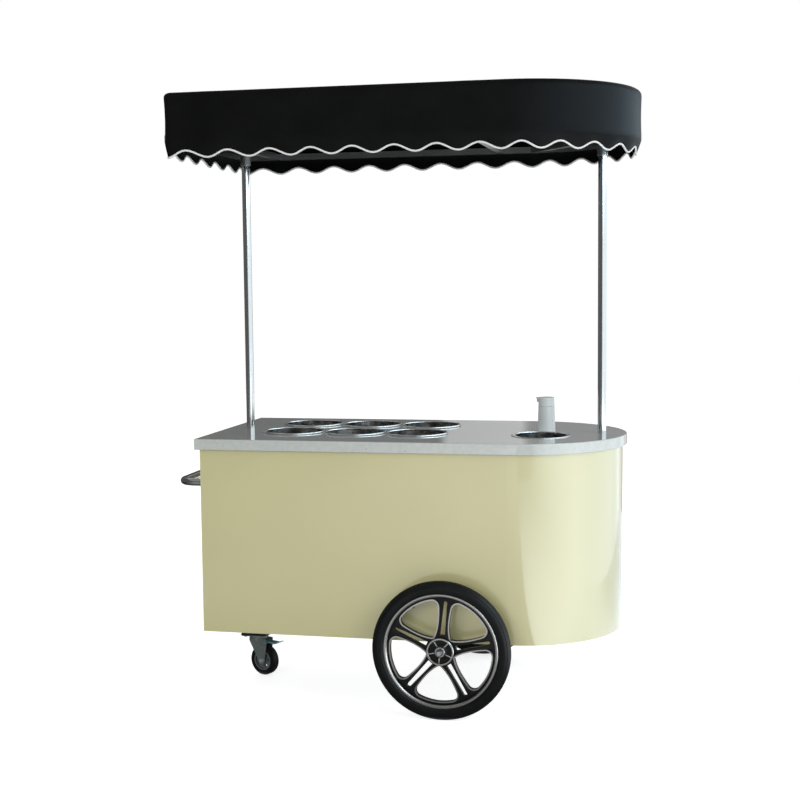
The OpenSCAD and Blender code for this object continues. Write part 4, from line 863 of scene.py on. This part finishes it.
def hub_mesh(side):
    """Hub: a bright ring and ribs round a dark dished floor, bored for the bearings."""
    top = HUB_W / 2 / MM
    floor_z = top - 8
    ring = [(43.4, floor_z), (43.4, top - 1.4), (44.6, top - 0.2), (48.6, top - 0.2), (50, top - 1.6),
            (50, 1 - top), (49, -top), (21.2, -top), (21.2, 12 - top), (17, 12 - top), (17, top - 12),
            (21.2, top - 12), (21.2, top - 2.6), (22, top - 2), (24, top - 2), (26, top - 4),
            (26, floor_z)]

    def make(bm):
        turn_ring(bm, in_mm(ring), 72)
        for face in bm.faces:
            spot = face.calc_center_median() / MM
            face.material_index = int(spot.z > top - 1.7 and spot.xy.length > 43)
        for i in range(SPOKES):
            bar = bmesh.ops.create_cube(bm, size=1)["verts"]
            bmesh.ops.scale(bm, verts=bar, vec=RIB_SIZE)
            edges = {e for v in bar for e in v.link_edges}
            edges = [e for e in edges if all(v.co.z > 0 for v in e.verts)]
            bmesh.ops.bevel(bm, geom=edges, offset=1.2 * MM, segments=2, profile=0.5, affect="EDGES",
                            material=-1)
            rib = [v for v in bm.verts if v.co.xy.length < HUB_BORE_R - 4 * MM]
            for face in {f for v in rib for f in v.link_faces}:
                face.material_index = 1
            place = (Matrix.Rotation(SPOKE_TURN + (i + 0.5) * STEP, 4, "Z")
                     @ Matrix.Translation((RIB_R, 0, top * MM - RIB_DROP)))
            bmesh.ops.transform(bm, matrix=place, verts=rib)
        bm.transform(wheel_place(side))
    return make


def valve_mesh(side):
    """Valve stem with its cap, standing inwards from the rim."""
    profile = [(0, 0), (4.2, 0), (4.2, 6), (3.4, 7), (3.4, 12), (2.6, 13.2), (0, 13.2)]

    def make(bm):
        turn(bm, in_mm(profile), 20)
        place = (Matrix.Rotation(VALVE_TURN, 4, "Z") @ Matrix.Translation((RIM_R - VALVE_IN, 0, 0))
                 @ Matrix.Rotation(-math.pi / 2, 4, "Y"))
        bm.transform(wheel_place(side) @ place)
    return make


nut_top = box("axle_nuts")[1].y - abs(wheel_centre.y)
NUT_R = 13.9 * MM
NUT_H = 13 * MM
WASHER_T = 3 * MM


def axle_nut_mesh(bm):
    """A rounded washer and a chamfered hexagon nut on each end of the axle."""
    washer = [(9.6, 0), (17.4, 0), (18.2, 0.8), (18.2, 2.2), (17.4, 3), (9.6, 3)]
    for side in (-1, 1):
        one = bmesh.new()
        turn_ring(one, in_mm(washer), 48)
        made = bmesh.ops.create_circle(one, cap_ends=True, segments=6, radius=NUT_R)["verts"]
        base = [f for f in made[0].link_faces if len(f.verts) == 6]
        made = bmesh.ops.extrude_face_region(one, geom=base, use_keep_orig=True)["geom"]
        top = [v for v in made if isinstance(v, bmesh.types.BMVert)]
        bmesh.ops.translate(one, verts=top, vec=(0, 0, NUT_H))
        hexagon = [v for v in one.verts if abs(v.co.xy.length - NUT_R) < 0.1 * MM]
        bmesh.ops.translate(one, verts=hexagon, vec=(0, 0, WASHER_T))
        crown = [e for e in one.edges if all(v in hexagon and v.co.z > NUT_H for v in e.verts)]
        bmesh.ops.bevel(one, geom=crown, offset=1.8 * MM, segments=2, profile=0.5, affect="EDGES",
                        material=-1)
        for face in one.faces:
            face.material_index = int(face.calc_center_median().z > WASHER_T + MM)
        one.transform(wheel_place(side) @ Matrix.Translation((0, 0, nut_top - NUT_H - WASHER_T)))
        part = bpy.data.meshes.new("nut")
        one.to_mesh(part)
        one.free()
        bm.from_mesh(part)
        bpy.data.meshes.remove(part)


piece("axle_nut_set", axle_nut_mesh, "cart", [alloy_bright, nut_steel], "axle_nuts",
      sharp=30)
for name, side in (("front", -1), ("back", 1)):
    body = f"{name}_wheel"
    rubber = tyre_rubber(f"{name}_tyre_rubber", wheel_middle(side))
    piece(f"{name}_tyre_tread", tyre_mesh(side), body, [rubber], f"{name}_tyre", sharp=50)
    piece(f"{name}_rim_ring", rim_ring_mesh(side), body, [alloy_dark, alloy_bright],
          f"{name}_rim", sharp=50)
    piece(f"{name}_spokes", spoke_mesh(side), body, [alloy_dark], sharp=35)
    piece(f"{name}_window_edges", window_edge_mesh(side), body, [alloy_bright, alloy_dark],
          sharp=30)
    piece(f"{name}_hub", hub_mesh(side), body, [alloy_dark, alloy_bright], sharp=35)
    piece(f"{name}_valve", valve_mesh(side), body, [black_plastic], sharp=35)


# Tap: the turning head with its pouring lip, and the outlet under the lip

TAP_TOP_R = 30 * MM
TAP_LOW_R = 31 * MM
TAP_HEAD_H = 34 * MM
LIP_REACH = 13 * MM
LIP_H = 24 * MM
LIP_SPREAD = 0.46
LIP_POINT = 1.35
LIP_CURL = 1.7
LIP_FROM = 0.3
LIP_BLEND = 0.62
WALL_STEPS = 14
SPIGOT_R = 12 * MM
OUTLET_REACH = 33 * MM
OUTLET_DROP = 18 * MM
tap_axis = middle("tap_column")
tap_top = box("tap_head")[1].z
spigot_l = tap_top - TAP_HEAD_H - box("tap_head")[0].z


def tap_head_mesh(bm):
    """A turned head, its upper edge drawn out into a lip."""
    wall = [(TAP_LOW_R + (TAP_TOP_R - TAP_LOW_R) * up, MM + (TAP_HEAD_H - 3.2 * MM) * up)
            for up in (i / WALL_STEPS for i in range(WALL_STEPS + 1))]
    stem = [(0, -spigot_l), (SPIGOT_R, -spigot_l), (SPIGOT_R, 0.4 * MM), (TAP_LOW_R - 0.8 * MM, 0.4 * MM)]
    dish = [(TAP_TOP_R - 0.5 * MM, TAP_HEAD_H - 0.8 * MM), (TAP_TOP_R - 2 * MM, TAP_HEAD_H),
            (TAP_TOP_R * 0.7, TAP_HEAD_H - 0.6 * MM), (TAP_TOP_R * 0.35, TAP_HEAD_H - 1.0 * MM),
            (0, TAP_HEAD_H - 1.1 * MM)]
    turn(bm, stem + wall + dish, 128)
    for vert in bm.verts:
        radius = vert.co.xy.length
        lift = (vert.co.z - TAP_HEAD_H + LIP_H) / LIP_H
        if lift <= 0 or radius < TAP_TOP_R * LIP_FROM:
            continue
        aside = abs(math.atan2(vert.co.y, -vert.co.x)) / LIP_SPREAD
        point = max(0.0, 1 - aside) ** LIP_POINT
        share = min(1.0, (radius - TAP_TOP_R * LIP_FROM) / (TAP_TOP_R * LIP_BLEND))
        out = LIP_REACH * point * min(lift, 1.0) ** LIP_CURL * share
        vert.co.x *= 1 + out / radius
        vert.co.y *= 1 + out / radius
    bmesh.ops.translate(bm, verts=bm.verts, vec=(tap_axis.x, tap_axis.y, tap_top - TAP_HEAD_H))


def tap_outlet_mesh(bm):
    profile = [(0, 4), (2.4, 4), (2.6, 0.3), (3.2, 0), (3.9, 0.7), (4.2, 2), (4, 3.4), (4, 11), (0, 11)]
    turn(bm, in_mm(profile), 24)
    place = (tap_axis.x - OUTLET_REACH, tap_axis.y, tap_top - OUTLET_DROP)
    bmesh.ops.translate(bm, verts=bm.verts, vec=place)


piece("tap_head_lip", tap_head_mesh, "tap_spout", [glaze], "tap_head", sharp=50)
piece("tap_outlet", tap_outlet_mesh, "tap_spout", [bright], sharp=40)


# Caster wheel finish, with its axis turned as the fork is

CASTER_TURN = math.radians(-20)
CASTER_CORE_R = 40.4 * MM
caster_centre = middle("caster_wheel")
caster_across = (-math.sin(CASTER_TURN), math.cos(CASTER_TURN), 0)
cover("caster_wheel", caster_rubber(caster_centre, caster_across, CASTER_CORE_R))


# Stage: pale floor, white surround, soft lamps and cards for the reflections

SOFT_LIGHT = 0.36
FLOOR_LIFT = 0.75
FLOOR_R = 14


def floor():
    """A pale floor that the camera and reflections see brighter than the cart's light makes it."""
    bm = bmesh.new()
    bmesh.ops.create_circle(bm, cap_ends=True, segments=96, radius=FLOOR_R)
    finish = Finish("floor", specular_ior_level=0.1, emission_strength=1.0)
    finish.colour(finish.even(finish.mottle(3), (0.80, 0.80, 0.80), (0.82, 0.82, 0.82)))
    finish.rough(0.6 + finish.mottle(8) * 0.1)
    lift = finish.mix(finish.seen(), (0, 0, 0), (FLOOR_LIFT,) * 3)
    finish.feed(finish.shader.inputs["Emission Color"], lift)
    obj = shown("floor", bm, [finish.material])


def surround():
    """White all round, but dimmer as a light on the cart."""
    world = bpy.data.worlds.new("surround")
    bpy.context.scene.world = world
    world.use_nodes = True
    nodes = Nodes(world.node_tree)
    background = nodes.tree.nodes["Background"]
    background.inputs["Color"].default_value = (1, 1, 1, 1)
    nodes.feed(background.inputs["Strength"], nodes.seen() * (1 - SOFT_LIGHT) + SOFT_LIGHT)


def card(name, low, high, glow, colour=(1, 1, 1), fades=()):
    """A flat card between two corners that shows only in reflections; a fade is an axis and its stops."""
    low, high = Vector(low), Vector(high)
    size = high - low
    bm = bmesh.new()
    bmesh.ops.create_grid(bm, x_segments=1, y_segments=1, size=0.5)
    if size.x == 0:
        bm.transform(Matrix.Rotation(math.pi / 2, 4, "Y"))
    elif size.y == 0:
        bm.transform(Matrix.Rotation(math.pi / 2, 4, "X"))
    bmesh.ops.scale(bm, verts=bm.verts, vec=[side or 1 for side in size])
    bmesh.ops.translate(bm, verts=bm.verts, vec=(low + high) / 2)
    finish = Finish(name, base_color=(0, 0, 0, 1), roughness=1.0, specular_ior_level=0.0,
                    emission_color=(*colour, 1), emission_strength=glow)
    light = colour
    for axis, stops in fades:
        place = (finish.axes()[axis] - low[axis]) / size[axis]
        level = finish.ramp(place, [((at - low[axis]) / size[axis], (share,) * 3) for at, share in stops])
        light = finish.mix(level, (0, 0, 0), light)
        finish.feed(finish.shader.inputs["Emission Color"], light)
    obj = shown(name, bm, [finish.material])
    obj.visible_camera = False
    obj.visible_diffuse = False
    obj.visible_shadow = False


def lamp(name, place, look_at, width, height, power, colour=(1, 1, 1)):
    """A soft lamp; the cards, not the lamps, show in reflections."""
    light = bpy.data.lights.new(name, "AREA")
    light.shape = "RECTANGLE"
    light.size = width
    light.size_y = height
    light.energy = power
    light.color = colour
    obj = linked(name, light)
    obj.location = place
    obj.rotation_euler = (Vector(look_at) - Vector(place)).to_track_quat("-Z", "Y").to_euler()
    obj.visible_glossy = False


# The camera that took the photograph, its place measured from the counter's left end
YAW, PITCH, ROLL = 12.548, 5.052, -0.589
CAMERA_PLACE = (1.87357, -5.27008, 1.59491)
FOCAL_PIXELS = 1390.03
PHOTO_PIXELS = 800
SENSOR_MM = 36


def camera():
    """Stands where the photograph was taken from."""
    yaw, pitch, roll = map(math.radians, (YAW, PITCH, ROLL))
    ahead = Vector((-math.sin(yaw) * math.cos(pitch), math.cos(yaw) * math.cos(pitch), -math.sin(pitch)))
    right = Vector((math.cos(yaw), math.sin(yaw), 0))
    above = right.cross(ahead)
    across = right * math.cos(roll) + above * math.sin(roll)
    upward = above * math.cos(roll) - right * math.sin(roll)
    data = bpy.data.cameras.new("camera")
    data.sensor_width = SENSOR_MM
    data.lens = SENSOR_MM * FOCAL_PIXELS / PHOTO_PIXELS
    obj = linked("camera", data)
    facing = Matrix((across, upward, -ahead)).transposed().to_4x4()
    left_end = Vector((box("counter")[0].x, 0, 0))
    obj.matrix_world = Matrix.Translation(left_end + Vector(CAMERA_PLACE)) @ facing
    bpy.context.scene.camera = obj


floor()
surround()
camera()
TARGET = (0, 0, 1.1)
COOL = (0.97, 0.99, 1.0)
lamp("key", (4.6, -2.6, 3.4), TARGET, 3.0, 3.0, 104, COOL)
lamp("side", (5.2, 1.6, 1.9), TARGET, 2.0, 2.0, 15, COOL)
lamp("front_fill", (-1.5, -6.0, 2.6), TARGET, 4.0, 3.0, 101)
lamp("back_fill", (-1.0, 5.0, 3.2), TARGET, 4.0, 3.0, 84)
DAYLIGHT = (0.86, 0.95, 1.0)
SKY_BLUE = (0.62, 0.84, 1.0)
LEFT, FRONT, RIGHT, BACK = -4.0, -9.0, 2.7, 4.0
LOW = 0.012
card("dark_left", (LEFT, FRONT, 0.02), (LEFT, BACK, 5.0), 0.14)
card("dark_front", (LEFT, FRONT, 0.10), (1.6, FRONT, 5.5), 0.12)
card("floor_front", (LEFT, FRONT, LOW), (0.9, 0.8, LOW), 2.1, fades=[
    (0, [(-2.8, 0.20), (-2.2, 0.35), (-1.7, 0.50), (-1.3, 0.65), (-0.8, 0.75), (-0.3, 0.92), (0.2, 1.0)]),
    (1, [(-5.6, 1.0), (-4.2, 0.80), (-3.0, 0.60), (-2.0, 0.50), (-1.3, 0.28), (-0.9, 0.12), (0.8, 0.06)])])
card("floor_left", (LEFT, 0.8, LOW), (-0.8, BACK, LOW), 0.10)
card("floor_right", (0.9, -6.0, LOW), (RIGHT, BACK, LOW), 4.6, DAYLIGHT,
     [(1, [(-5.0, 0.5), (-1.0, 1.0), (0.0, 0.72), (0.8, 0.36), (2.0, 0.26)])])
card("window_low", (RIGHT, -6.0, 0.0), (RIGHT, BACK, 0.8), 4.6, DAYLIGHT,
     [(1, [(-5.0, 0.5), (-1.0, 1.0), (2.0, 0.4)])])
card("window_middle", (RIGHT, -6.0, 0.8), (RIGHT, BACK, 2.15), 1.5, DAYLIGHT)
card("window_high", (RIGHT, -6.0, 2.15), (RIGHT, BACK, 2.80), 9.5, SKY_BLUE,
     [(1, [(-1.0, 1.0), (1.0, 0.7), (2.5, 0.4)])])
card("behind", (LEFT, BACK, 0.0), (RIGHT, BACK, 3.4), 1.1, fades=[
    (0, [(-0.66, 0.09), (-0.61, 0.455), (-0.10, 0.51), (-0.04, 0.227), (1.3, 0.227), (1.8, 0.85)])])
card("ceiling", (LEFT, FRONT, 5.4), (RIGHT, BACK, 5.4), 0.40)
bpy.context.scene.view_settings.view_transform = "Standard"
